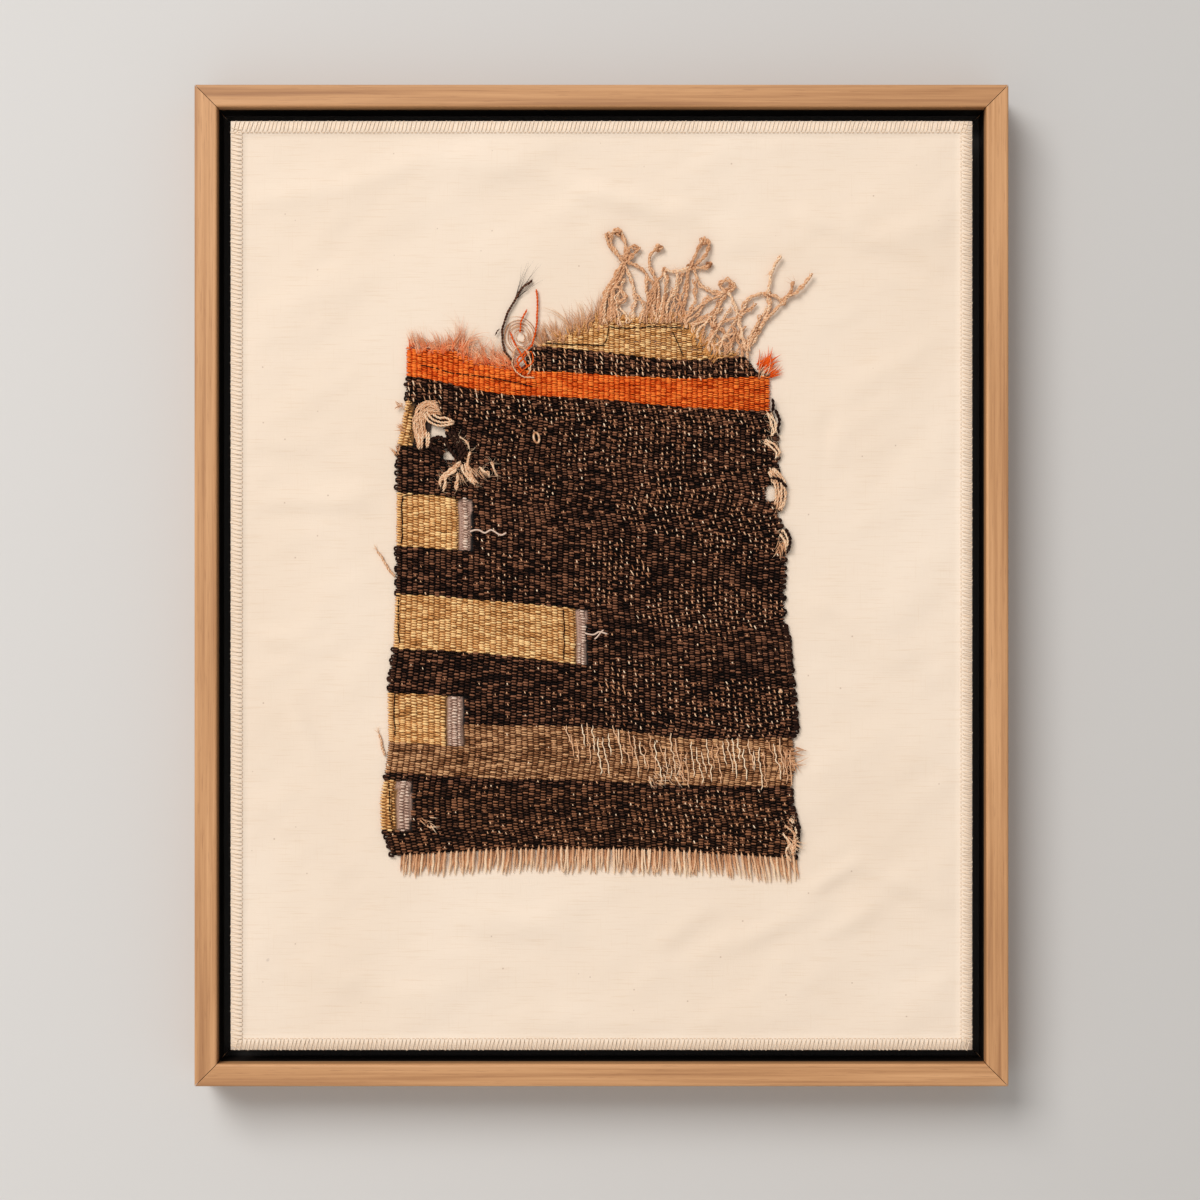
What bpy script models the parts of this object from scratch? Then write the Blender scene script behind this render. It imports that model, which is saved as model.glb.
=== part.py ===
"""A fragment of a flatwoven kilim on a canvas panel in an oak floater frame.

Metres, +Z up. The origin is the middle of the frame's box, the picture faces -Y, and the wall is at +Y.
The canvas panel stands on a board that rests on the ledges of the frame's L-shaped rails. The kilim lies
on the canvas, with bare warps, knots and fringe at its torn edges.
"""

import math
from collections import namedtuple

import bmesh
import bpy
from mathutils import Matrix, Vector

MM = 0.001
GAP = 0.3 * MM

# Frame, an L-shaped floater moulding
FRAME_WIDTH = 438 * MM
FRAME_HEIGHT = 539 * MM
FRAME_DEPTH = 35 * MM
FACE = 12 * MM
LEDGE_REACH = 18 * MM
LEDGE_THICKNESS = 7 * MM
ARRIS = 1.2 * MM
BACK = FRAME_DEPTH / 2
FRONT = -FRAME_DEPTH / 2
LEDGE_FRONT = BACK - LEDGE_THICKNESS

# Canvas panel and the board that carries it
FLOAT_GAP = 7 * MM
CANVAS_WIDTH = FRAME_WIDTH - 2 * (FACE + FLOAT_GAP)
CANVAS_HEIGHT = FRAME_HEIGHT - 2 * (FACE + FLOAT_GAP)
CANVAS_FRONT = FRONT + 5 * MM
CANVAS_THICKNESS = 1.2 * MM
CANVAS_CELLS = (24, 30)
HEM_WIDTH = 6 * MM
HEM_STEP = 0.4 * MM
BOARD_INSET = 4 * MM

# Kilim
KILIM_THICKNESS = 1.6 * MM
RIB_RISE = 0.5 * MM
RIBS = 70
KILIM_BACK = CANVAS_FRONT - GAP
KILIM_FRONT = KILIM_BACK - KILIM_THICKNESS - RIB_RISE
ROOT_OFFSET = 1.45 * MM

# Soft creases of the canvas, each from one end to the other
Crease = namedtuple("Crease", "x0 z0 x1 z1 rise")
CREASES = [
    Crease(-47, 227, 53, 205, -0.4),
    Crease(75, -160, 161, -172, 0.3),
    Crease(48, -224, 86, -222, -0.3),
    Crease(140, 192, 161, 176, 0.3),
    Crease(-175, -60, -150, 40, -0.25),
]
CREASE_REACH = 9 * MM

# Slow unevenness of the cloths, as the height of a wave and its length across and up
Wave = namedtuple("Wave", "height across up")
CANVAS_WAVE = Wave(0.12 * MM, 47 * MM, 61 * MM)
KILIM_WAVE = Wave(0.08 * MM, 21 * MM, 17 * MM)

# The canvas stays flat behind the kilim, within this half width and half height
FLAT_HALF_WIDTH = 125 * MM
FLAT_HALF_HEIGHT = 195 * MM

# Height of the kilim's rows at five places from the left selvedge to the right one
RowLine = namedtuple("RowLine", "left quarter middle three_quarter right rows_above")
ROW_LINES = [
    RowLine(-145.5, -142.8, -142.2, -143.9, -147.0, 3),
    RowLine(-100.7, -103.9, -105.0, -107.7, -108.2, 2),
    RowLine(-72.0, -75.3, -76.4, -82.8, -82.3, 2),
    RowLine(-34.2, -36.9, -43.1, -44.5, -45.6, 3),
    RowLine(-4.5, -8.3, -13.2, -17.0, -21.8, 3),
    RowLine(50.0, 45.7, 43.0, 40.8, 38.7, 3),
    RowLine(113.0, 103.6, 100.9, 96.4, 94.0, 3),
]

# Where the selvedges run, by height
EdgePoint = namedtuple("EdgePoint", "z x")
LEFT_EDGE = [
    EdgePoint(128, -103.4), EdgePoint(114, -105.0), EdgePoint(99, -105.6), EdgePoint(82, -108.8),
    EdgePoint(75, -110.4), EdgePoint(3, -110.8), EdgePoint(-34, -112.3), EdgePoint(-58, -115.5),
    EdgePoint(-85, -114.8), EdgePoint(-101, -116.9), EdgePoint(-116, -119.4), EdgePoint(-131, -119.0),
    EdgePoint(-136, -116.0), EdgePoint(-147, -113.4),
]
RIGHT_EDGE = [
    EdgePoint(112, 90.7), EdgePoint(94, 90.9), EdgePoint(84, 94.8), EdgePoint(62, 95.3),
    EdgePoint(49, 98.6), EdgePoint(38, 95.0), EdgePoint(25, 100.2), EdgePoint(-2, 98.6),
    EdgePoint(-19, 98.6), EdgePoint(-29, 101.3), EdgePoint(-51, 103.4), EdgePoint(-76, 106.1),
    EdgePoint(-83, 103.4), EdgePoint(-97, 104.8), EdgePoint(-110, 102.3), EdgePoint(-121, 104.0),
    EdgePoint(-131, 107.0), EdgePoint(-147, 105.0),
]

# The torn upper edge: the orange flap, the step beside it, the gold-tan block and its slope
TopPoint = namedtuple("TopPoint", "x z")
TOP_EDGE = [
    TopPoint(-103.4, 128.0), TopPoint(-80.0, 126.5), TopPoint(-65.0, 121.0), TopPoint(-50.0, 119.0),
    TopPoint(-36.5, 117.5), TopPoint(-35.0, 129.5), TopPoint(-26.7, 132.6), TopPoint(-6.2, 140.7),
    TopPoint(-0.8, 144.5), TopPoint(42.4, 144.5), TopPoint(46.7, 138.0), TopPoint(59.7, 124.5),
    TopPoint(66.0, 126.0), TopPoint(72.0, 127.0), TopPoint(77.5, 124.0), TopPoint(81.0, 120.0),
    TopPoint(84.0, 115.5), TopPoint(91.0, 113.0),
]
TOP_EDGE_ROWS = 3

# Gaps where no weft is left
Hole = namedtuple("Hole", "x z half_width half_height")
HOLES = [
    Hole(-89.4, 81.3, 3.2, 2.6),
    Hole(-82.1, 69.4, 2.9, 2.6),
    Hole(91.2, 49.5, 2.1, 4.3),
]

# Bare warps above the gold-tan block. Each strand is a list of places in mm, x then z, and rises off the
# canvas by lift at its start and by lift plus rise at its end.
Strand = namedtuple("Strand", "places lift rise")
TANGLE = [
    Strand([(-1, 146), (2, 158), (7, 166), (12, 175)], 0.1, 0.9),
    Strand([(3, 146), (6, 157), (10, 165), (13, 174)], 0.5, 0.6),
    Strand([(12, 175), (5, 182), (2, 190)], 0.7, 1.0),
    Strand([(12, 175), (13, 184), (9, 192), (5, 186), (9, 178), (12, 174)], 0.4, 0.8),
    Strand([(13, 175), (15, 182), (20, 182), (17, 178), (14, 174)], 0.6, 0.2),
    Strand([(13, 175), (21, 171), (26, 165), (29, 156), (26, 146)], 0.9, -0.7),
    Strand([(12, 174), (16, 165), (18, 155), (16, 146)], 0.8, -0.5),
    Strand([(5, 146), (6, 159), (10, 160), (13, 155), (8, 152)], 0.9, 0.6),
    Strand([(31, 183), (26, 177), (27, 169), (31, 161), (29, 146)], 1.2, -1.0),
    Strand([(34, 170), (35, 161), (33, 153), (31, 146)], 0.6, -0.2),
    Strand([(34, 170), (40, 169), (48, 172)], 0.9, 0.1),
    Strand([(41, 169), (40, 160), (36, 153), (35, 146)], 0.9, -0.4),
    Strand([(48, 172), (52, 181), (55, 187), (58, 184), (56, 178), (50, 172)], 0.6, 0.9),
    Strand([(47, 172), (46, 160), (43, 146)], 0.9, -0.8),
    Strand([(49, 172), (55, 171), (58, 173)], 0.6, 0.4),
    Strand([(49, 172), (53, 163), (60, 158), (68, 159)], 0.3, 0.5),
    Strand([(43, 146), (53, 151), (61, 155), (68, 159)], 0.8, 0.0),
    Strand([(67, 158), (64, 162), (68, 165), (72, 161), (68, 158)], 0.9, 0.2),
    Strand([(68, 159), (62, 148), (60, 140), (57, 129)], 0.5, -0.3),
    Strand([(68, 159), (72, 151), (74, 142), (78, 126)], 0.9, -0.6),
    Strand([(74, 145), (79, 154), (84, 157), (90, 157), (98, 153)], 0.4, 0.6),
    Strand([(90, 157), (91, 166), (96, 178)], 0.8, 0.9),
    Strand([(98, 153), (102, 159), (104, 164)], 0.6, 0.9),
    Strand([(84, 138), (88, 146), (98, 153), (107, 160), (114, 168)], 0.6, 1.2),
    Strand([(74, 128), (82, 131), (85, 138), (90, 148), (90, 157)], 0.2, 0.5),
    Strand([(48, 140), (56, 145), (61, 140), (65, 142), (74, 145), (84, 152)], 0.5, 0.3),
    Strand([(60, 128), (66, 133), (72, 136), (77, 132), (77, 126)], 0.7, -0.2),
    Strand([(71, 128), (68, 134), (64, 138), (60, 136)], 0.3, 0.4),
]
KNOTS = [
    (12.5, 174.5), (34, 170), (48, 172), (68, 159), (90, 157), (98, 153), (74, 145), (61, 139), (84, 138),
]
KNOT_SIZE = (2.0 * MM, 1.5 * MM, 1.9 * MM)

# Short warps that fan out at the left end of the gold-tan block
FAN_COUNT = 11
FAN_FROM = TopPoint(-29.5, 133.2)
FAN_TO = TopPoint(-7.0, 142.3)
FAN_SHORTEST = 10.0
FAN_SWELL = 7.0
FAN_LEAN = (-1.0, 2.0)

YARN_TAILS = [
    Strand([(-49, 120), (-53, 129), (-54, 138), (-51, 147), (-46, 154), (-38, 161)], 0.2, 1.6),
    Strand([(-43, 120), (-39, 130), (-36, 141), (-35, 151), (-35, 160)], 0.3, 1.4),
    Strand([(-40, 120), (-45, 128), (-49, 138)], 0.8, 1.5),
    Strand([(-47, 120), (-45, 135), (-41, 144), (-37, 138), (-39, 128), (-42, 120)], 0.5, 0.6),
]
TAIL_ROOT = [(-50.5, 120.3), (-39.0, 119.2)]

# The whorl of bare warps, then the loops that hang below it
BARE_WARPS = [
    Strand([(-100, 74), (-99, 88), (-94, 97), (-86, 99), (-80, 96)], 0.0, 0.0),
    Strand([(-97, 74), (-96, 86), (-92, 94), (-86, 96), (-80, 93)], 0.1, 0.0),
    Strand([(-94, 74), (-94, 84), (-91, 91), (-86, 92), (-80, 90)], 0.0, 0.0),
    Strand([(-80, 96), (-78, 90), (-82, 87), (-90, 87)], 0.1, 0.0),
    Strand([(-82, 88), (-78, 82), (-75, 76), (-74, 70)], 0.0, 0.1),
    Strand([(-74, 70), (-80, 65), (-85, 59), (-86, 54)], 0.1, 0.0),
    Strand([(-74, 70), (-79, 62), (-82, 56), (-81, 52)], 0.0, 0.1),
    Strand([(-74, 70), (-76, 61), (-77, 53), (-74, 50)], 0.1, 0.1),
    Strand([(-74, 70), (-72, 60), (-70, 52)], 0.0, 0.1),
    Strand([(-74, 70), (-70, 64), (-67, 55)], 0.1, 0.0),
]
BARE_WARP_ROOT = [(-101, 73.5), (-93, 73.0)]

ORANGE_TUFT = [
    Strand([(84, 118.2), (86, 123), (90, 126)], 0.2, 0.8),
    Strand([(86, 117.5), (89, 122), (93, 123)], 0.5, 0.6),
    Strand([(88, 116.8), (92, 119), (96, 120)], 0.1, 0.7),
    Strand([(90, 116.2), (94, 117), (97, 116)], 0.4, 0.4),
]
TUFT_ROOT = [(83.5, 118.6), (91.5, 115.8)]

SIDE_THREADS = {
    "side_thread_upper": Strand([(-111.9, 4.5), (-116, 11), (-121, 19)], 0.0, 0.6),
    "side_thread_lower": Strand([(-117.2, -92), (-118.4, -86), (-120, -79.5)], 0.0, 0.5),
}

STRAND_RADIUS = 1.0 * MM
FINE_RADIUS = 0.8 * MM
ROOT_RADIUS = 0.9 * MM
STRAND_STEP = 4.0 * MM
WELD = 0.01 * MM

# Combs of short warp ends, by length, spacing and the width of one strand
Comb = namedtuple("Comb", "count length length_swing lean width spread")
BOTTOM_COMB = Comb(118, 13.6, 1.3, 1.3, 1.15, 0.35)
FLAP_COMB = Comb(25, 13.0, 4.5, -2.5, 1.3, 0.0)
FLAP_COMB_END = -57.0
BOTTOM_LEAN_WAVE = 31.0
FLAP_LEAN_WAVE = 30.0
COMB_THICKNESS = 1.3 * MM
COMB_STRIP = 1.2 * MM
COMB_RISE = 0.7
COMB_LINE_STEPS = 40
FLAP_GAP = 0.45


def clear_scene():
    """Remove whatever the new file starts with."""
    for thing in list(bpy.data.objects):
        bpy.data.objects.remove(thing, do_unlink=True)


def make_material(name, colour, roughness):
    material = bpy.data.materials.new(name)
    material.use_nodes = True
    shader = material.node_tree.nodes["Principled BSDF"]
    shader.inputs["Base Color"].default_value = (*colour, 1.0)
    shader.inputs["Roughness"].default_value = roughness
    shader.inputs["Metallic"].default_value = 0.0
    return material


def add_object(name, bm, material, smooth_angle=None):
    """Turn a bmesh into a named object with its material."""
    bmesh.ops.recalc_face_normals(bm, faces=bm.faces)
    mesh = bpy.data.meshes.new(name)
    bm.to_mesh(mesh)
    bm.free()
    if smooth_angle is not None:
        mesh.shade_smooth()
        mesh.set_sharp_from_angle(angle=smooth_angle)
    mesh.materials.append(material)
    thing = bpy.data.objects.new(name, mesh)
    bpy.context.scene.collection.objects.link(thing)
    return thing


def read_table(points, key, value, at):
    """Straight-line reading of a short table whose keys rise or fall."""
    rows = sorted((getattr(point, key), getattr(point, value)) for point in points)
    if at <= rows[0][0]:
        return rows[0][1]
    for (low, first), (high, second) in zip(rows, rows[1:]):
        if at <= high:
            return first + (second - first) * (at - low) / (high - low)
    return rows[-1][1]


def offset_line(places, distance):
    """Shift a line of (x, z) places sideways, to the left of its direction, keeping its corners mitred."""
    points = [Vector(place) for place in places]
    normals = []
    for first, second in zip(points, points[1:]):
        along = (second - first).normalized()
        normals.append(Vector((-along.y, along.x)))
    shifted = []
    for index, point in enumerate(points):
        before = normals[max(index - 1, 0)]
        after = normals[min(index, len(normals) - 1)]
        outward = (before + after).normalized()
        shifted.append(tuple(point + outward * distance / outward.dot(after)))
    return shifted


def make_rail(name, length, turn, reach, material):
    """One L-shaped rail, its profile extruded along X, its ends leant to the mitre."""
    profile = [
        (0, BACK), (0, FRONT), (FACE, FRONT), (FACE, LEDGE_FRONT),
        (FACE + LEDGE_REACH, LEDGE_FRONT), (FACE + LEDGE_REACH, BACK),
    ]
    bm = bmesh.new()
    corners = [bm.verts.new((0, y, -inward)) for inward, y in profile]
    bm.faces.new(corners)
    front_corners = [corner for corner, place in zip(corners, profile) if place[1] == FRONT]
    bmesh.ops.bevel(bm, geom=front_corners, offset=ARRIS, offset_type="OFFSET", segments=3,
                    profile=0.5, affect="VERTICES", material=-1)
    made = bmesh.ops.extrude_face_region(bm, geom=bm.faces[:])
    far_end = {part for part in made["geom"] if isinstance(part, bmesh.types.BMVert)}
    mitre_pull = GAP / math.sqrt(2)
    for vert in bm.verts:
        half = length / 2 + vert.co.z - mitre_pull
        vert.co.x = half if vert in far_end else -half
    thing = add_object(name, bm, material, math.radians(35))
    thing.rotation_euler = (0, turn, 0)
    thing.location = Matrix.Rotation(turn, 3, "Y") @ Vector((0, 0, reach))
    return thing


def make_board(material):
    """The board behind the canvas, resting on the ledges."""
    back = LEDGE_FRONT - GAP
    front = CANVAS_FRONT + CANVAS_THICKNESS + GAP
    size = (CANVAS_WIDTH - 2 * BOARD_INSET, back - front, CANVAS_HEIGHT - 2 * BOARD_INSET)
    bm = bmesh.new()
    bmesh.ops.create_cube(bm, size=1.0)
    bmesh.ops.scale(bm, vec=size, verts=bm.verts)
    bmesh.ops.translate(bm, vec=(0, (back + front) / 2, 0), verts=bm.verts)
    return add_object("mount_board", bm, material)


def grid_line(index, cells, size):
    """Place of a canvas grid line: two at each hem, the rest evenly between."""
    half = size / 2
    inner = half - HEM_WIDTH - 2 * HEM_STEP
    ends = {0: -half, 1: -half + HEM_WIDTH, cells - 1: half - HEM_WIDTH, cells: half}
    if index in ends:
        return ends[index]
    return -inner + 2 * inner * (index - 2) / (cells - 4)


def crease_rise(x, z):
    """How far the canvas stands forward at a place, from its creases and its own slow waves."""
    rise = CANVAS_WAVE.height * math.sin(x / CANVAS_WAVE.across) * math.cos(z / CANVAS_WAVE.up)
    place = Vector((x, z))
    for crease in CREASES:
        start = Vector((crease.x0, crease.z0)) * MM
        along = Vector((crease.x1, crease.z1)) * MM - start
        share = min(max((place - start).dot(along) / along.length_squared, 0.0), 1.0)
        away = (place - start - along * share).length
        rise += crease.rise * MM * math.exp(-(away / CREASE_REACH) ** 2)
    under_kilim = abs(x) < FLAT_HALF_WIDTH and abs(z) < FLAT_HALF_HEIGHT
    return min(rise, 0.0) if under_kilim else rise


def close_back(bm, back):
    """Give an open front surface its edge walls and one flat back."""
    rim = [edge for edge in bm.edges if edge.is_boundary]
    made = bmesh.ops.extrude_edge_only(bm, edges=rim)
    for part in made["geom"]:
        if isinstance(part, bmesh.types.BMVert):
            part.co.y = back
    bmesh.ops.holes_fill(bm, edges=[edge for edge in bm.edges if edge.is_boundary], sides=0)


def make_canvas(material):
    """The canvas panel: its hem stands a little proud, and creases cross its face."""
    across, down = CANVAS_CELLS
    bm = bmesh.new()
    bmesh.ops.create_grid(bm, x_segments=across, y_segments=down, size=0.5)
    for vert in bm.verts:
        column = round((vert.co.x + 0.5) * across)
        row = round((vert.co.y + 0.5) * down)
        x = grid_line(column, across, CANVAS_WIDTH)
        z = grid_line(row, down, CANVAS_HEIGHT)
        in_hem = column in (0, 1, across - 1, across) or row in (0, 1, down - 1, down)
        rise = HEM_STEP if in_hem else crease_rise(x, z)
        vert.co = (x, CANVAS_FRONT - rise, z)
    close_back(bm, CANVAS_FRONT + CANVAS_THICKNESS)
    return add_object("backing_canvas", bm, material, math.radians(30))


def row_height(line, share):
    """Height of a row line at a share of the way from left to right selvedge, read as a soft curve."""
    heights = line[:5]
    place = min(max(share, 0.0), 1.0) * (len(heights) - 1)
    index = min(int(place), len(heights) - 2)
    local = place - index
    before = heights[max(index - 1, 0)]
    first, second = heights[index], heights[index + 1]
    after = heights[min(index + 2, len(heights) - 1)]
    return MM * 0.5 * (
        2 * first
        + (second - before) * local
        + (2 * before - 5 * first + 4 * second - after) * local ** 2
        + (3 * first - before - 3 * second + after) * local ** 3
    )


def kilim_rows():
    """Each row of the kilim's grid: the line below it, the line above it, and the share between."""
    rows = []
    for index, line in enumerate(ROW_LINES[:-1]):
        rows += [(line, ROW_LINES[index + 1], step / line.rows_above) for step in range(line.rows_above)]
    top_line = ROW_LINES[-1]
    rows += [(top_line, None, step / TOP_EDGE_ROWS) for step in range(TOP_EDGE_ROWS + 1)]
    return rows


def kilim_place(row, share):
    """World x and z of the kilim at a row and a share of the width."""
    below, above, between = row
    low = row_height(below, share)
    if above is None:
        left = read_table(LEFT_EDGE, "z", "x", ROW_LINES[-1].left)
        right = read_table(RIGHT_EDGE, "z", "x", ROW_LINES[-1].right)
        x = (left + (right - left) * share) * MM
        high = read_table(TOP_EDGE, "x", "z", x / MM) * MM
        return x, low + (high - low) * between
    z_left = below.left + (above.left - below.left) * between
    z_right = below.right + (above.right - below.right) * between
    left = read_table(LEFT_EDGE, "z", "x", z_left)
    right = read_table(RIGHT_EDGE, "z", "x", z_right)
    high = row_height(above, share)
    return (left + (right - left) * share) * MM, low + (high - low) * between


def make_hole_cutter(hole):
    """An upright eight-sided peg through the kilim at one of its gaps."""
    bm = bmesh.new()
    bmesh.ops.create_cone(bm, cap_ends=True, segments=8, radius1=1.0, radius2=1.0, depth=10 * MM)
    bmesh.ops.scale(bm, vec=(hole.half_width * MM, hole.half_height * MM, 1.0), verts=bm.verts)
    bmesh.ops.rotate(bm, cent=(0, 0, 0), matrix=Matrix.Rotation(math.radians(90), 3, "X"), verts=bm.verts)
    bmesh.ops.translate(bm, vec=(hole.x * MM, KILIM_BACK, hole.z * MM), verts=bm.verts)
    return bm


def cut_or_join(thing, tools, operation, group_name):
    """Cut a group of guide meshes out of an object, or join them to it."""
    group = bpy.data.collections.new(group_name)
    bpy.context.scene.collection.children.link(group)
    for index, tool_mesh in enumerate(tools):
        tool = bpy.data.objects.new(f"{group_name}_{index}", tool_mesh)
        tool.hide_render = True
        tool.display_type = "WIRE"
        group.objects.link(tool)
    boolean = thing.modifiers.new(group_name, "BOOLEAN")
    boolean.operation = operation
    boolean.operand_type = "COLLECTION"
    boolean.collection = group
    boolean.solver = "EXACT"
    boolean.use_self = operation == "UNION"


def mesh_from(bm, name):
    bmesh.ops.recalc_face_normals(bm, faces=bm.faces)
    mesh = bpy.data.meshes.new(name)
    bm.to_mesh(mesh)
    bm.free()
    return mesh


def make_kilim(material):
    """The woven sheet: its grid follows the warps, with a ridge on every warp, and three gaps."""
    rows = kilim_rows()
    columns = 2 * RIBS
    bm = bmesh.new()
    bmesh.ops.create_grid(bm, x_segments=columns, y_segments=len(rows) - 1, size=0.5)
    for vert in bm.verts:
        column = round((vert.co.x + 0.5) * columns)
        row = round((vert.co.y + 0.5) * (len(rows) - 1))
        x, z = kilim_place(rows[row], column / columns)
        ridge = RIB_RISE if column % 2 else 0.0
        uneven = KILIM_WAVE.height * (math.sin(x / KILIM_WAVE.across) + math.cos(z / KILIM_WAVE.up))
        vert.co = (x, KILIM_BACK - KILIM_THICKNESS - ridge - uneven, z)
    close_back(bm, KILIM_BACK)
    kilim = add_object("kilim_weave", bm, material, math.radians(60))
    cutters = [mesh_from(make_hole_cutter(hole), "hole") for hole in HOLES]
    cut_or_join(kilim, cutters, "DIFFERENCE", "kilim_hole")
    return kilim


def soft_route(places, step):
    """Points along a soft curve through hand-placed places, a step apart."""
    route = []
    for index in range(len(places) - 1):
        before = Vector(places[max(index - 1, 0)])
        first = Vector(places[index])
        second = Vector(places[index + 1])
        after = Vector(places[min(index + 2, len(places) - 1)])
        count = max(1, round((second - first).length * MM / step))
        for tick in range(count):
            share = tick / count
            route.append(0.5 * (
                2 * first
                + (second - before) * share
                + (2 * before - 5 * first + 4 * second - after) * share ** 2
                + (3 * first - before - 3 * second + after) * share ** 3
            ))
    route.append(Vector(places[-1]))
    return route


def strand_mesh(name, strand, radius, ground, taper=0.75, soft=True):
    """A four-sided strand along its places, lying in front of the given ground."""
    route = soft_route(strand.places, STRAND_STEP) if soft else [Vector(place) for place in strand.places]
    curve = bpy.data.curves.new(name, "CURVE")
    curve.dimensions = "3D"
    curve.bevel_depth = radius
    curve.bevel_resolution = 0
    curve.use_fill_caps = True
    spline = curve.splines.new("POLY")
    spline.points.add(len(route) - 1)
    for index, place in enumerate(route):
        share = index / (len(route) - 1)
        lift = (strand.lift + strand.rise * share) * MM
        spline.points[index].co = (place.x * MM, ground - GAP - radius - lift, place.y * MM, 1.0)
        spline.points[index].radius = 1.0 + (taper - 1.0) * share
    guide = bpy.data.objects.new(name, curve)
    bm = bmesh.new()
    bm.from_mesh(guide.to_mesh())
    guide.to_mesh_clear()
    bpy.data.objects.remove(guide, do_unlink=True)
    bmesh.ops.remove_doubles(bm, verts=bm.verts, dist=WELD)
    return mesh_from(bm, name)


def knot_mesh(name, place, ground):
    """A small lump where strands are tied."""
    bm = bmesh.new()
    bmesh.ops.create_icosphere(bm, subdivisions=1, radius=1.0)
    bmesh.ops.scale(bm, vec=KNOT_SIZE, verts=bm.verts)
    forward = ground - GAP - KNOT_SIZE[1]
    bmesh.ops.translate(bm, vec=(place[0] * MM, forward, place[1] * MM), verts=bm.verts)
    return mesh_from(bm, name)


def make_strands(name, strands, root, knots, radius, ground, material):
    """Strands fused at their root line and at their knots."""
    root_mesh = strand_mesh(name, Strand(root, 0.0, 0.0), ROOT_RADIUS, ground, taper=1.0, soft=False)
    root_mesh.materials.append(material)
    thing = bpy.data.objects.new(name, root_mesh)
    bpy.context.scene.collection.objects.link(thing)
    pieces = [strand_mesh(f"{name}_strand", strand, radius, ground) for strand in strands]
    pieces += [knot_mesh(f"{name}_knot", place, ground) for place in knots]
    cut_or_join(thing, pieces, "UNION", f"{name}_parts")
    return thing


def fan_strands():
    """Short warps that stand up beside the block, those near it leaning towards it."""
    strands = []
    for index in range(FAN_COUNT):
        share = index / (FAN_COUNT - 1)
        x = FAN_FROM.x + (FAN_TO.x - FAN_FROM.x) * share
        z = FAN_FROM.z + (FAN_TO.z - FAN_FROM.z) * share
        reach = FAN_SHORTEST + FAN_SWELL * math.sin(math.pi * share)
        lean = FAN_LEAN[0] + (FAN_LEAN[1] - FAN_LEAN[0]) * share
        places = [(x, z), (x + lean / 3, z + reach / 2), (x + lean, z + reach)]
        strands.append(Strand(places, 0.1 + 0.4 * (index % 2), 0.6))
    return strands


def comb_tooth(comb, index, x, root_z, direction, lean):
    """One tapered warp end: its outline as (x, z, forward) in mm, from its left root to its right one."""
    swing = 0.6 * math.sin(1.9 * index) + 0.4 * math.sin(0.53 * index)
    length = (comb.length + comb.length_swing * swing) * direction
    tip = lean + (comb.spread if index % 2 else -comb.spread)
    forward = COMB_RISE * (1 + math.sin(2.7 * index)) / 2
    half = comb.width / 2
    left_side = [
        (x - half, root_z, 0.0),
        (x - half + tip / 2, root_z + length / 2, forward / 2),
        (x - half / 2 + tip, root_z + length, forward),
    ]
    right_side = [
        (x + half / 2 + tip, root_z + length, forward),
        (x + half + tip / 2, root_z + length / 2, forward / 2),
        (x + half, root_z, 0.0),
    ]
    return left_side + right_side


def make_comb(name, line, direction, comb, lean_at, material):
    """Warp ends that stand on one narrow strip: the strip's outline and theirs are one flat shape."""
    points = [TopPoint(x, z) for x, z in line]
    first, last = points[0], points[-1]
    pitch = (last.x - first.x) / comb.count
    strip = COMB_STRIP / MM * direction
    free_side = [(first.x, first.z + strip, 0.0)]
    for index in range(comb.count):
        x = first.x + pitch * (index + 0.5)
        root_z = read_table(points, "x", "z", x) + strip
        free_side += comb_tooth(comb, index, x, root_z, direction, lean_at(x))
    free_side.append((last.x, last.z + strip, 0.0))
    outline = [(x, z, 0.0) for x, z in line] + free_side[::-1]

    bm = bmesh.new()
    forward_layer = bm.verts.layers.float.new("forward")
    for x, z, forward in outline:
        vert = bm.verts.new((x * MM, CANVAS_FRONT - GAP, z * MM))
        vert[forward_layer] = forward * MM
    bm.faces.new(bm.verts)
    made = bmesh.ops.extrude_face_region(bm, geom=bm.faces[:])
    for part in made["geom"]:
        if isinstance(part, bmesh.types.BMVert):
            part.co.y -= COMB_THICKNESS
    bmesh.ops.triangulate(bm, faces=[face for face in bm.faces if len(face.verts) > 4])
    for vert in bm.verts:
        vert.co.y -= vert[forward_layer]
    return add_object(name, bm, material)


def bottom_line():
    """The line just under the kilim's lower edge."""
    row = kilim_rows()[0]
    places = [kilim_place(row, index / COMB_LINE_STEPS) for index in range(1, COMB_LINE_STEPS + 1)]
    return [(x / MM, (z - GAP) / MM) for x, z in places]


def flap_line():
    """The line just above the orange flap, as far as the yarn tails."""
    places = [(point.x, point.z) for point in TOP_EDGE if point.x < FLAP_COMB_END]
    places.append((FLAP_COMB_END, read_table(TOP_EDGE, "x", "z", FLAP_COMB_END)))
    return [(x, z + FLAP_GAP) for x, z in places]


def bottom_lean(x):
    """How far the lower fringe's tips lean to the right at x, in mm."""
    return BOTTOM_COMB.lean * math.sin(x / BOTTOM_LEAN_WAVE)


def flap_lean(x):
    """How far the flap's warps lean at x, most beside the yarn tails."""
    return FLAP_COMB.lean * math.cos((x - FLAP_COMB_END) / FLAP_LEAN_WAVE)


def tangle_root():
    """The line above the gold-tan block and the dark band beside it."""
    places = [(point.x, point.z) for point in TOP_EDGE if -36 < point.x < 79]
    return offset_line(places, ROOT_OFFSET / MM)


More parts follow.
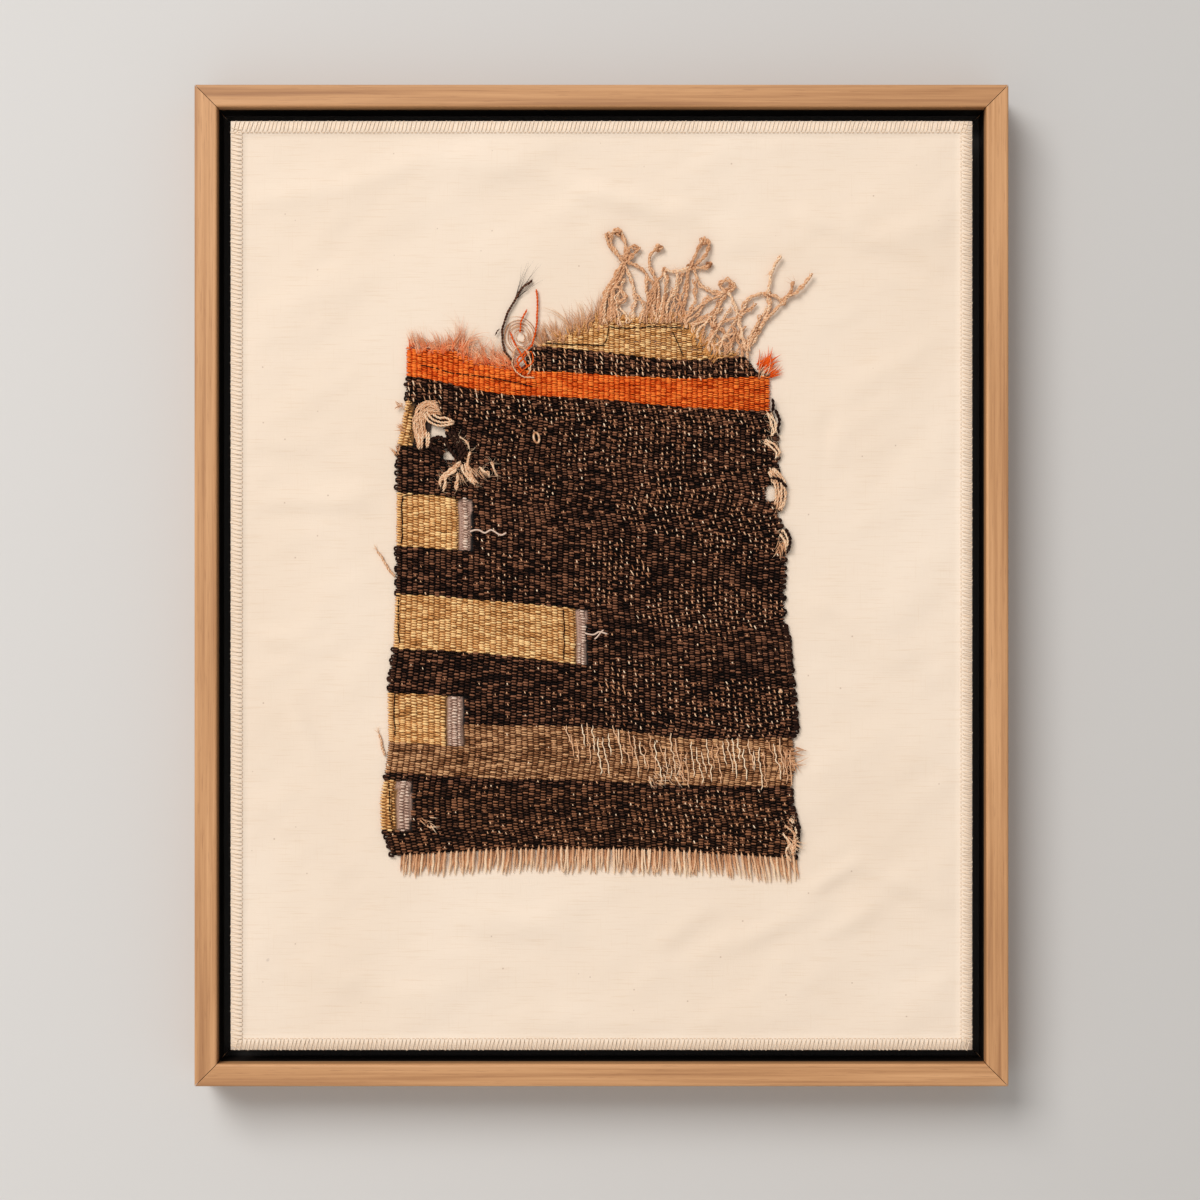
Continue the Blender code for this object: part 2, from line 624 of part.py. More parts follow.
def build():
    clear_scene()
    oak = make_material("oak", (0.60, 0.33, 0.16), 0.5)
    board = make_material("dark board", (0.03, 0.02, 0.015), 0.85)
    cotton = make_material("cotton canvas", (0.88, 0.75, 0.58), 0.9)
    wool = make_material("dark wool", (0.05, 0.025, 0.018), 0.85)
    warp = make_material("bare warp", (0.60, 0.36, 0.22), 0.85)
    orange = make_material("orange wool", (0.70, 0.13, 0.015), 0.8)

    quarter = math.radians(90)
    make_rail("rail_top", FRAME_WIDTH, 0, FRAME_HEIGHT / 2, oak)
    make_rail("rail_right", FRAME_HEIGHT, quarter, FRAME_WIDTH / 2, oak)
    make_rail("rail_bottom", FRAME_WIDTH, 2 * quarter, FRAME_HEIGHT / 2, oak)
    make_rail("rail_left", FRAME_HEIGHT, 3 * quarter, FRAME_WIDTH / 2, oak)
    make_board(board)
    make_canvas(cotton)
    make_kilim(wool)

    make_comb("bottom_fringe", bottom_line(), -1, BOTTOM_COMB, bottom_lean, warp)
    make_comb("flap_fringe", flap_line(), 1, FLAP_COMB, flap_lean, warp)
    make_strands("warp_tangle", TANGLE + fan_strands(), tangle_root(), KNOTS, STRAND_RADIUS,
                 CANVAS_FRONT, warp)
    make_strands("yarn_tails", YARN_TAILS, TAIL_ROOT, [], FINE_RADIUS, CANVAS_FRONT, orange)
    make_strands("orange_tuft", ORANGE_TUFT, TUFT_ROOT, [], FINE_RADIUS, CANVAS_FRONT, orange)
    make_strands("bare_warps", BARE_WARPS, BARE_WARP_ROOT, [], FINE_RADIUS, KILIM_FRONT, warp)
    for name, strand in SIDE_THREADS.items():
        thread = bpy.data.objects.new(name, strand_mesh(name, strand, FINE_RADIUS, CANVAS_FRONT, 0.5))
        thread.data.materials.append(warp)
        bpy.context.scene.collection.objects.link(thread)


build()
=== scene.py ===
# %% [markdown]
# # A kilim fragment in an oak floater frame
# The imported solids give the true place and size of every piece. This file dresses them. The oak gets its
# grain, the canvas its weave and its stitched edge, and the kilim is laid again yarn by yarn, because on
# the real thing every bit of colour is a yarn that passes over or under another.

# %% Load the fixed frame
import math
import random
from collections import namedtuple

import bmesh
import bpy
import numpy as np
from mathutils import Matrix, Vector, noise


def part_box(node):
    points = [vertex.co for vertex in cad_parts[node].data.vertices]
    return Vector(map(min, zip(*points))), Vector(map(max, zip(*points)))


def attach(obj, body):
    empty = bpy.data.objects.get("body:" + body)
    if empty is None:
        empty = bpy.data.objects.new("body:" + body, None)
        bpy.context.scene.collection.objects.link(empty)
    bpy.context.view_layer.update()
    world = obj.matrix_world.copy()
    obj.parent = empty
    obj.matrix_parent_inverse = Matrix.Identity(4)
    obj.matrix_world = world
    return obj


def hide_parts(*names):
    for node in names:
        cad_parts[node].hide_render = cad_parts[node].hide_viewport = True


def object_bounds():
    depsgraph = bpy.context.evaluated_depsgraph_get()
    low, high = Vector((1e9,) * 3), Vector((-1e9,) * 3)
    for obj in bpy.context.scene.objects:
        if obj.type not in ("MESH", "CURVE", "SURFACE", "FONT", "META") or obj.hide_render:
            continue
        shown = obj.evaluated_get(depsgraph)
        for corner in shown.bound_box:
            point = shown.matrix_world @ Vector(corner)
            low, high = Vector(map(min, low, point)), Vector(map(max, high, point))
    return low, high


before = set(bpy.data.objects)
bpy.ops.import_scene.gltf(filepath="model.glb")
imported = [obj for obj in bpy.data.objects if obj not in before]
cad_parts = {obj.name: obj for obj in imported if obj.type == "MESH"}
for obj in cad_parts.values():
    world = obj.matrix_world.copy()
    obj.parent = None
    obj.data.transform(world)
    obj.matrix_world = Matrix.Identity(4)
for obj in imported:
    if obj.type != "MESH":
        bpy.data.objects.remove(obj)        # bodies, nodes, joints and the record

MM = 0.001
cad_low, cad_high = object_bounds()
print("solids' box in mm:", [round(side / MM, 1) for side in cad_high - cad_low])

# %% [markdown]
# ## The camera
# The photograph is taken square on, from about a metre and a half, with a longish lens. The recess shows
# equally much of its four inner walls, which fixes how far away the camera stands.

# %% Camera
CAMERA_PLACE = (-0.8 * MM, -1451.5 * MM, -7.8 * MM)
lens = bpy.data.cameras.new("square_on")
lens.lens = 80
lens.sensor_width = 36
camera = bpy.data.objects.new("square_on", lens)
camera.location = CAMERA_PLACE
camera.rotation_euler = (math.radians(90), 0, 0)
bpy.context.scene.collection.objects.link(camera)
bpy.context.scene.camera = camera
bpy.context.scene.view_settings.view_transform = "Standard"
print("camera", round(-CAMERA_PLACE[1] + cad_low.y, 3), "m in front of the frame")

# %% [markdown]
# ## Small helpers for finishes
# A finish is a node tree, and most of its nodes are noise, ramps and mixes. Short helpers keep each
# finish down to the lines that say what the surface is. Colours are given as the 0 to 255 tones of a
# colour card and turned into the linear light that Blender works in.

# %% Finish helpers
def card(tones):
    """Linear colour of a colour card's tones."""
    shares = [tone / 255 for tone in tones]
    linear = [((s + 0.055) / 1.055) ** 2.4 if s > 0.04045 else s / 12.92 for s in shares]
    return (*linear, 1.0)


def add(tree, kind, inputs, **settings):
    """Add a node with its settings, and with the value or the link of each input."""
    node = tree.nodes.new(kind)
    for name, value in settings.items():
        setattr(node, name, value)
    for socket, value in inputs.items():
        if isinstance(value, bpy.types.NodeSocket):
            tree.links.new(value, node.inputs[socket])
        else:
            node.inputs[socket].default_value = value
    return node


def new_finish(name, roughness, sheen=0.0):
    """A material with its node tree and its shader."""
    material = bpy.data.materials.new(name)
    material.use_nodes = True
    shader = material.node_tree.nodes["Principled BSDF"]
    shader.inputs["Roughness"].default_value = roughness
    shader.inputs["Sheen Weight"].default_value = sheen
    shader.inputs["Sheen Roughness"].default_value = 0.6
    return material, material.node_tree, shader


def stretched(tree, scale):
    """Object coordinates, in metres, scaled along each axis."""
    where = add(tree, "ShaderNodeTexCoord", {})
    return add(tree, "ShaderNodeMapping", {"Vector": where.outputs["Object"], "Scale": scale}).outputs[0]


def speckle(tree, scale, detail=3.0, roughness=0.5):
    """Noise with features at 1 / scale metres along each axis."""
    inputs = {"Vector": stretched(tree, scale), "Scale": 1.0, "Detail": detail, "Roughness": roughness}
    return add(tree, "ShaderNodeTexNoise", inputs).outputs["Fac"]


def ramp(tree, factor, stops):
    """Card tones along a factor, from (position, tones) stops."""
    node = add(tree, "ShaderNodeValToRGB", {"Fac": factor})
    elements = node.color_ramp.elements
    elements[0].position, elements[1].position = stops[0][0], stops[-1][0]
    for position, _ in stops[1:-1]:
        elements.new(position)
    for element, (_, tones) in zip(elements, stops):
        element.color = card(tones)
    return node.outputs["Color"]


def rescale(tree, value, low, high, to_low=0.0, to_high=1.0):
    """A value moved from one range to another, held within it."""
    inputs = {"Value": value, "From Min": low, "From Max": high, "To Min": to_low, "To Max": to_high}
    return add(tree, "ShaderNodeMapRange", inputs).outputs["Result"]


def blend(tree, factor, first, second, mode="MIX"):
    """Mix two colours."""
    inputs = {0: factor, 6: first, 7: second}
    return add(tree, "ShaderNodeMix", inputs, data_type="RGBA", blend_type=mode).outputs[2]


def sums(tree, operation, first, second):
    """One step of arithmetic on two values."""
    return add(tree, "ShaderNodeMath", {0: first, 1: second}, operation=operation).outputs[0]


def raise_surface(tree, shader, height, distance, strength=1.0):
    """Relief too fine for the mesh."""
    bump = add(tree, "ShaderNodeBump", {"Height": height, "Distance": distance, "Strength": strength})
    tree.links.new(bump.outputs["Normal"], shader.inputs["Normal"])


print("finish helpers ready")

# %% [markdown]
# ## Wall, floor and light
# The panel hangs on a plain pale wall. One large soft light stands high on the left, so the frame throws
# a soft shadow to the right and below, and an even surround lifts the shadows. The wall lets light and
# the view through from behind, so that the back of the frame can be looked at too.

# %% Stage
BACK_OF_FRAME = cad_high.y
WALL_TONES = (212, 210, 208)
FLOOR_TONES = (222, 218, 213)
FLOOR_HEIGHT = -620 * MM
LIGHT_FROM = Vector((-0.56, -1.0, 0.74)).normalized() * 7.0
LIGHT_SIZE = 3.7
LIGHT_POWER = 396
SURROUND = 0.40


def stage_plane(name, size, place, tilt, tones, fall=0.0):
    """A large plane of the stage, painted a little darker to the right as shade where the light falls off, and
    clear from behind.
    """
    bm = bmesh.new()
    bmesh.ops.create_grid(bm, x_segments=1, y_segments=1, size=size / 2)
    bmesh.ops.rotate(bm, cent=(0, 0, 0), matrix=Matrix.Rotation(tilt, 3, "X"), verts=bm.verts)
    bmesh.ops.translate(bm, vec=place, verts=bm.verts)
    mesh = bpy.data.meshes.new(name)
    bm.to_mesh(mesh)
    bm.free()
    material, tree, shader = new_finish(name, 0.9)
    place_across = add(tree, "ShaderNodeTexCoord", {}).outputs["Object"]
    across = add(tree, "ShaderNodeSeparateXYZ", {0: place_across}).outputs["X"]
    # painted shade: fall darkens the plane towards the right, as if the light fell off there
    painted_falloff = rescale(tree, across, -0.35, 0.35)
    darker = tuple(tone - fall for tone in tones)
    tree.links.new(ramp(tree, painted_falloff, [(0.0, tones), (1.0, darker)]), shader.inputs["Base Color"])
    side = add(tree, "ShaderNodeNewGeometry", {}).outputs["Backfacing"]
    clear = add(tree, "ShaderNodeBsdfTransparent", {}).outputs[0]
    both = add(tree, "ShaderNodeMixShader", {0: side, 1: shader.outputs[0], 2: clear})
    tree.links.new(both.outputs[0], tree.nodes["Material Output"].inputs["Surface"])
    mesh.materials.append(material)
    plane = bpy.data.objects.new(name, mesh)
    bpy.context.scene.collection.objects.link(plane)
    return plane


wall = stage_plane("wall", 5.0, (0, BACK_OF_FRAME + 0.4 * MM, 1.85), math.radians(90), WALL_TONES, 14)
wall.visible_shadow = False
wall.visible_diffuse = False
floor = stage_plane("floor", 5.0, (0, -2.4, FLOOR_HEIGHT), 0, FLOOR_TONES)

lamp = bpy.data.lights.new("soft_light", "AREA")
lamp.size = LIGHT_SIZE
lamp.energy = LIGHT_POWER
lamp.color = (1.0, 0.985, 0.965)
soft_light = bpy.data.objects.new("soft_light", lamp)
soft_light.location = LIGHT_FROM
soft_light.rotation_euler = (-LIGHT_FROM).to_track_quat("-Z", "Y").to_euler()
bpy.context.scene.collection.objects.link(soft_light)

surround = bpy.data.worlds.new("surround")
surround.use_nodes = True
surround.node_tree.nodes["Background"].inputs["Color"].default_value = (0.99, 0.995, 1.0, 1.0)
surround.node_tree.nodes["Background"].inputs["Strength"].default_value = SURROUND
bpy.context.scene.world = surround
print("stage, light and surround ready")

# %% [markdown]
# ## The oak rails
# Each rail is a straight length of oak, so its grain runs along it: across for the top and bottom,
# upright for the sides. The grain is noise that is drawn out thirty times along the rail, in three
# layers: broad bands, fine lines, and short dark pores. Deep inside the recess the wood is stained
# nearly black, and that stain is a mask made from the place of each point.

# %% Oak finish
OAK_FACE = 12 * MM
STAIN_DEPTH = 9.5 * MM
OPENING_HALF_WIDTH = cad_high.x - OAK_FACE
OPENING_HALF_HEIGHT = cad_high.z - OAK_FACE
STAIN_LINE = cad_low.y + STAIN_DEPTH


def stain_mask(tree):
    """1 inside the recess, deeper than the stain line, and 0 on the face and outside."""
    place = add(tree, "ShaderNodeSeparateXYZ", {0: add(tree, "ShaderNodeTexCoord", {}).outputs["Object"]})
    across = sums(tree, "ABSOLUTE", place.outputs["X"], 0.0)
    up = sums(tree, "ABSOLUTE", place.outputs["Z"], 0.0)
    inside = sums(
        tree, "MULTIPLY",
        sums(tree, "LESS_THAN", across, OPENING_HALF_WIDTH + 0.1 * MM),
        sums(tree, "LESS_THAN", up, OPENING_HALF_HEIGHT + 0.1 * MM),
    )
    deep = rescale(tree, place.outputs["Y"], STAIN_LINE - 0.8 * MM, STAIN_LINE + 0.8 * MM)
    return sums(tree, "MULTIPLY", inside, deep)


def oak_finish(name, along, tones):
    """Waxed oak with its grain along X (0) or Z (2)."""
    material, tree, shader = new_finish(name, 0.5)
    light, middle, dark = tones

    def drawn_out(across, length):
        scale = [across, across, across]
        scale[along] = length
        return tuple(scale)

    bands = speckle(tree, drawn_out(150, 4), 2.0)
    lines = speckle(tree, drawn_out(620, 9), 4.0, 0.62)
    pores = speckle(tree, drawn_out(1900, 70), 2.0)
    figure = sums(tree, "ADD", sums(tree, "MULTIPLY", bands, 0.55), sums(tree, "MULTIPLY", lines, 0.45))
    wood = ramp(tree, figure, [(0.36, dark), (0.5, middle), (0.64, light)])
    pore_mask = rescale(tree, pores, 0.60, 0.72, 0.0, 0.42)
    wood = blend(tree, pore_mask, wood, card((150, 100, 62)))
    stained = ramp(tree, lines, [(0.3, (15, 9, 5)), (0.7, (34, 22, 13))])
    tree.links.new(blend(tree, stain_mask(tree), wood, stained), shader.inputs["Base Color"])
    tree.links.new(rescale(tree, lines, 0.3, 0.7, 0.44, 0.6), shader.inputs["Roughness"])
    raise_surface(tree, shader, sums(tree, "SUBTRACT", lines, pore_mask), 0.12 * MM, 0.5)
    return material


OAK_TONES = ((212, 160, 112), (194, 142, 95), (166, 116, 74))
OAK_ACROSS = oak_finish("oak across", 0, OAK_TONES)
OAK_UPRIGHT = oak_finish("oak upright", 2, OAK_TONES)
for rail_name, finish in [
    ("rail_top", OAK_ACROSS), ("rail_bottom", OAK_ACROSS),
    ("rail_left", OAK_UPRIGHT), ("rail_right", OAK_UPRIGHT),
]:
    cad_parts[rail_name].data.materials.clear()
    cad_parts[rail_name].data.materials.append(finish)
print("oak on 4 rails, stained below", round(STAIN_DEPTH / MM, 1), "mm")

# %% [markdown]
# ## The board behind the canvas
# Only its edge is seen, in the shadow of the recess, and its back. It is a dark fibre board: matt, with
# short pressed fibres and a faint mottle.

# %% Board finish
material, tree, shader = new_finish("fibre board", 0.85)
fibres = speckle(tree, (260, 260, 900), 4.0, 0.7)
tree.links.new(ramp(tree, fibres, [(0.3, (38, 29, 23)), (0.7, (62, 49, 39))]), shader.inputs["Base Color"])
raise_surface(tree, shader, fibres, 0.15 * MM, 0.6)
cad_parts["mount_board"].data.materials.clear()
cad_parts["mount_board"].data.materials.append(material)
print("board finished")

# %% [markdown]
# ## The canvas panel
# It is one cloth of unbleached cotton, stretched over the board. It isn't quite flat: soft creases from
# folding cross it, and its turned edge stands a little proud. A fine grid takes these as real shape, and
# Solidify gives it the cloth's thickness. A crease may rise freely but can sink only until the cloth meets
# the board, so each hollow levels out above it. The weave, far finer than the grid, is relief in the finish.

# %% Canvas shape
CANVAS_FRONT = -12.5
CANVAS_THICKNESS = 0.8
HEM_WIDTH = 6.0
HEM_STEP = 0.35
CANVAS_CELLS = (124, 155)
canvas_low, canvas_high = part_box("backing_canvas")
board_low, board_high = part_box("mount_board")
DEEPEST = board_low.y / MM - CANVAS_FRONT - CANVAS_THICKNESS - 0.1
CANVAS_SIZE = ((canvas_high.x - canvas_low.x) / MM, (canvas_high.z - canvas_low.z) / MM)

Crease = namedtuple("Crease", "x0 z0 x1 z1 rise reach")
CREASES = [
    Crease(-192, 206, -135, 215, 0.5, 6), Crease(-135, 215, -90, 231, 0.6, 6),
    Crease(-90, 232, -20, 220, 0.5, 7), Crease(-20, 218, 45, 198, 0.9, 6), Crease(-17, 228, 36, 211, -0.9, 5),
    Crease(45, 200, 100, 178, 0.4, 8), Crease(82, 238, 104, 195, -0.5, 5),
    Crease(104, 195, 192, 161, -0.6, 5),
    Crease(100, 204, 150, 176, 0.5, 6), Crease(135, 181, 192, 200, 0.5, 7),
    Crease(-192, 71, -130, 57, -0.7, 5),
    Crease(-192, 46, -113, 44, 0.4, 5), Crease(-192, 36, -140, 38, -0.3, 6),
    Crease(-192, -22, -160, -34, 0.5, 5),
    Crease(-167, -67, -152, -92, 0.6, 4), Crease(-192, -107, -141, -152, 0.6, 5),
    Crease(-176, -88, -158, -106, -0.5, 5),
    Crease(104, -5, 135, -17, 0.5, 5), Crease(135, -17, 176, -50, 0.6, 6),
    Crease(118, -36, 152, -55, -0.7, 6),
    Crease(-102, -166, -79, -189, -0.7, 5), Crease(-79, -189, -28, -204, -0.7, 6),
    Crease(-60, -176, -20, -188, 0.5, 6),
    Crease(39, -200, 68, -179, -0.8, 5), Crease(68, -196, 120, -172, 0.5, 6),
    Crease(107, -168, 138, -149, 0.7, 4),
    Crease(138, -149, 192, -175, 0.6, 5), Crease(120, -190, 150, -172, 0.5, 5),
    Crease(150, -214, 186, -204, -0.5, 6),
    Crease(-190, 150, -120, 168, 0.3, 8), Crease(-160, -210, -90, -222, 0.4, 8),
    Crease(118, 60, 124, 100, -0.3, 4),
]
CALM_LOW, CALM_HIGH = Vector((-117, -158)), Vector((104, 168))
CALM_REACH = 16
CREASE_HEIGHT = 2.2


def edge_calm(x, z):
    """The creases die out over the last centimetre, where the edge is stitched."""
    inward = min(CANVAS_SIZE[0] / 2 - abs(x), CANVAS_SIZE[1] / 2 - abs(z)) - HEM_WIDTH
    return min(1.0, max(0.0, inward) / 10)


def canvas_rise(x, z):
    """How far the canvas stands forward of its own plane, in mm. It lies calm under the kilim."""
    rise = 0.12 * math.sin(x / 47) * math.cos(z / 61)
    along, across = 0.9 * x + 0.44 * z, -0.44 * x + 0.9 * z
    rise += 1.3 * noise.noise(Vector((along / 70, across / 32, 0)))
    rise += 0.42 * noise.noise(Vector((along / 26, across / 11, 5)))
    rise += 0.14 * noise.noise(Vector((along / 11, across / 5, 9)))
    for crease in CREASES:
        start = Vector((crease.x0, crease.z0))
        along = Vector((crease.x1, crease.z1)) - start
        offset = Vector((x, z)) - start
        share = min(max(offset.dot(along) / along.length_squared, 0.0), 1.0)
        away = (offset - along * share).length / crease.reach
        if away < 3:
            fade = 1 - 0.6 * abs(2 * share - 1) ** 2
            rise += CREASE_HEIGHT * crease.rise * fade * math.exp(-away ** 2)
    if rise < 0:
        rise = DEEPEST * (math.exp(rise / DEEPEST) - 1)
    out_x = max(CALM_LOW.x - x, x - CALM_HIGH.x, 0)
    out_z = max(CALM_LOW.y - z, z - CALM_HIGH.y, 0)
    return rise * min(1.0, 0.08 + math.hypot(out_x, out_z) / CALM_REACH) * edge_calm(x, z)


def canvas_lines(size, cells):
    """Places of the grid lines along one side: the hem's step, then even cells."""
    half = size / 2
    inner = np.linspace(-half + HEM_WIDTH + 0.5, half - HEM_WIDTH - 0.5, cells - 3)
    return [-half, -half + HEM_WIDTH, *inner, half - HEM_WIDTH, half]


def finish_mesh(name, bm, material):
    """A bmesh as a shaded object, at the origin."""
    mesh = bpy.data.meshes.new(name)
    bm.to_mesh(mesh)
    bm.free()
    mesh.shade_smooth()
    mesh.materials.append(material)
    piece = bpy.data.objects.new(name, mesh)
    bpy.context.scene.collection.objects.link(piece)
    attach(piece, "root")
    return piece


def canvas_mesh():
    """The cloth as a grid that follows its creases."""
    columns = canvas_lines(CANVAS_SIZE[0], CANVAS_CELLS[0])
    rows = canvas_lines(CANVAS_SIZE[1], CANVAS_CELLS[1])
    bm = bmesh.new()
    bmesh.ops.create_grid(bm, x_segments=CANVAS_CELLS[0], y_segments=CANVAS_CELLS[1], size=0.5)
    for vert in bm.verts:
        column = round((vert.co.x + 0.5) * CANVAS_CELLS[0])
        row = round((vert.co.y + 0.5) * CANVAS_CELLS[1])
        hem = (column in (0, 1, len(columns) - 2, len(columns) - 1)
               or row in (0, 1, len(rows) - 2, len(rows) - 1))
        x, z = columns[column], rows[row]
        rise = HEM_STEP if hem else canvas_rise(x, z)
        vert.co = (x * MM, (CANVAS_FRONT - rise) * MM, z * MM)
    bmesh.ops.recalc_face_normals(bm, faces=bm.faces)
    if bm.faces[0].normal.y > 0:
        bmesh.ops.reverse_faces(bm, faces=bm.faces)
    return bm


print("the canvas may sink", round(DEEPEST, 2), "mm before it meets the board")

# %% [markdown]
# The cotton isn't one colour. Slubs, thicker bits of thread, run across and up, brown seed flecks are
# caught in the yarn, and one small grey spot sits low on the left. Flecks come from a cell pattern:
# where the distance to a cell's middle is tiny, and the cell's own random value is high, there is one.

# %% Canvas finish
SPOT = (-180 * MM, -202 * MM)
SPOT_REACH = 2.2 * MM


def canvas_finish():
    material, tree, shader = new_finish("unbleached cotton", 0.92, 0.12)
    across = speckle(tree, (45, 1, 1500), 3.0, 0.6)
    upward = speckle(tree, (1500, 1, 45), 3.0, 0.6)
    cloudy = speckle(tree, (9, 1, 9), 3.0)
    cloth = ramp(tree, cloudy, [(0.3, (235, 215, 194)), (0.7, (240, 222, 203))])
    slub = rescale(tree, across, 0.54, 0.72, 0.0, 0.5)
    cloth = blend(tree, slub, cloth, card((224, 198, 170)))
    cloth = blend(tree, rescale(tree, upward, 0.58, 0.75, 0.0, 0.35), cloth, card((226, 202, 176)))
    cells = add(tree, "ShaderNodeTexVoronoi", {"Vector": stretched(tree, (170, 1, 170)), "Scale": 1.0})
    near = rescale(tree, cells.outputs["Distance"], 0.05, 0.10, 1.0, 0.0)
    rare = sums(tree, "GREATER_THAN",
                add(tree, "ShaderNodeSeparateColor", {0: cells.outputs["Color"]}).outputs[0], 0.90)
    fleck = sums(tree, "MULTIPLY", sums(tree, "MULTIPLY", near, rare), 0.45)
    cloth = blend(tree, fleck, cloth, card((150, 112, 82)))
    place = add(tree, "ShaderNodeSeparateXYZ", {0: add(tree, "ShaderNodeTexCoord", {}).outputs["Object"]})
    away_x = sums(tree, "SUBTRACT", place.outputs["X"], SPOT[0])
    away_z = sums(tree, "SUBTRACT", place.outputs["Z"], SPOT[1])
    away = sums(tree, "SQRT",
                sums(tree, "ADD", sums(tree, "POWER", away_x, 2.0), sums(tree, "POWER", away_z, 2.0)), 0)
    ragged = sums(tree, "ADD", away, sums(tree, "MULTIPLY", speckle(tree, (900, 1, 900)), 2.0 * MM))
    spot = rescale(tree, ragged, 1.2 * MM, SPOT_REACH, 0.4, 0.0)
    cloth = blend(tree, spot, cloth, card((168, 150, 138)))
    tree.links.new(cloth, shader.inputs["Base Color"])
    weave = sums(tree, "ADD", speckle(tree, (240, 1, 2300), 1.0), speckle(tree, (2300, 1, 240), 1.0))
    raise_surface(tree, shader, sums(tree, "ADD", weave, sums(tree, "MULTIPLY", across, 0.8)), 0.10 * MM,
                  0.55)
    return material


canvas_cloth = finish_mesh("canvas_cloth", canvas_mesh(), canvas_finish())
thickness = canvas_cloth.modifiers.new("thickness", "SOLIDIFY")
thickness.thickness = CANVAS_THICKNESS * MM
thickness.offset = -1.0
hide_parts("backing_canvas")
print("canvas", [round(side) for side in CANVAS_SIZE], "mm, with", len(CREASES), "creases")

# %% [markdown]
# ## Yarn as tubes
# Everything on this piece that isn't wood or canvas is yarn. A yarn is a tube along a line of places,
# thick or thin by its radii, and dark or light by its tones. Many yarns share one mesh: they go into one
# curve object as its splines, the curve gives them their thickness, and the mesh that comes of it is
# welded at its pointed ends. The tone is kept on the mesh as an attribute, which the finish reads.

# %% Yarn helpers
Yarn = namedtuple("Yarn", "places radii tones closed", defaults=(False,))
SIDES = 4


def pointed(count, radius, start=1, end=1):
    """Radii along a yarn that comes to a point over its first and last places."""
    rises = [min(1.0, index / start) if start else 1.0 for index in range(count)]
    falls = [min(1.0, (count - 1 - index) / end) if end else 1.0 for index in range(count)]
    return [radius * min(rise, fall) for rise, fall in zip(rises, falls)]


def lay_yarn(name, yarns, finish, flatten=1.0, fade=0.0):
    """All the yarns as one mesh: places and radii in mm, flattened in depth, with a painted highlight on the
    upper side.
    """
    curve = bpy.data.curves.new(name, "CURVE")
    curve.dimensions = "3D"
    curve.bevel_depth = MM
    curve.bevel_resolution = 0
    for yarn in yarns:
        spline = curve.splines.new("POLY")
        spline.points.add(len(yarn.places) - 1)
        spline.points.foreach_set("co", [
            value for x, y, z in yarn.places for value in (x * MM, y * MM / flatten, z * MM, 1.0)
        ])
        spline.points.foreach_set("radius", yarn.radii)
        spline.use_cyclic_u = yarn.closed
    guide = bpy.data.objects.new(name, curve)
    mesh = bpy.data.meshes.new_from_object(guide)
    bpy.data.objects.remove(guide, do_unlink=True)
    bpy.data.curves.remove(curve)
    tones = np.repeat([tone for yarn in yarns for tone in yarn.tones], SIDES)
    places = np.empty(len(mesh.vertices) * 3)
    mesh.vertices.foreach_get("co", places)
    heights = places.reshape(-1, SIDES, 3)[:, :, 2] / MM
    # fade is painted light: the upper side of each tube is made paler and the lower side darker, as if lit from
    # above
    tones = tones + fade * np.clip((heights - heights.mean(axis=1, keepdims=True)) / 0.5, -1, 1).ravel()
    mesh.attributes.new("tone", "FLOAT", "POINT").data.foreach_set("value", tones.astype(np.float32))
    bm = bmesh.new()
    bm.from_mesh(mesh)
    bpy.data.meshes.remove(mesh)
    bmesh.ops.scale(bm, vec=(1, flatten, 1), verts=bm.verts)
    bmesh.ops.remove_doubles(bm, verts=bm.verts, dist=0.004 * MM)
    piece = finish_mesh(name, bm, finish)
    triangles = sum(len(face.vertices) - 2 for face in piece.data.polygons)
    print(f"{name}: {len(yarns)} yarns, {triangles} triangles")
    return piece


def soft_route(places, step):
    """Places a step apart along a soft curve through a few given ones, in two or three axes."""
    points = [np.array(place, float) for place in places]
    route = []
    for index in range(len(points) - 1):
        before, first = points[max(index - 1, 0)], points[index]
        second, after = points[index + 1], points[min(index + 2, len(points) - 1)]
        count = max(1, round(float(np.linalg.norm(second - first)) / step))
        for tick in range(count):
            share = tick / count
            route.append(0.5 * (
                2 * first
                + (second - before) * share
                + (2 * before - 5 * first + 4 * second - after) * share ** 2
                + (3 * first - before - 3 * second + after) * share ** 3
            ))
    route.append(points[-1])
    return route


def clamp(value, low=0.0, high=1.0):
    return min(max(value, low), high)


# %% [markdown]
# The finish of a yarn is a ramp from its darkest to its lightest tone. The tone attribute picks the
# place on the ramp, and fine noise, at the scale of the fibres, moves it a little either way. Dyed wool
# hardly shines, so its specular level is kept low: a stronger one would turn the near-black yarn grey.

# %% Yarn finishes
def yarn_finish(name, dark, middle, light, fibre=0.22):
    material, tree, shader = new_finish(name, 0.9, 0.0)
    shader.inputs["Specular IOR Level"].default_value = 0.12
    tone = add(tree, "ShaderNodeAttribute", {}, attribute_name="tone").outputs["Fac"]
    fibres = rescale(tree, speckle(tree, (1700, 1700, 1700), 2.0, 0.7), 0.25, 0.75, -fibre, fibre)
    stops = [(0.0, dark), (0.5, middle), (1.0, light)]
    tree.links.new(ramp(tree, sums(tree, "ADD", tone, fibres), stops), shader.inputs["Base Color"])
    raise_surface(tree, shader, speckle(tree, (2600, 2600, 2600), 1.0), 0.06 * MM, 0.5)
    return material


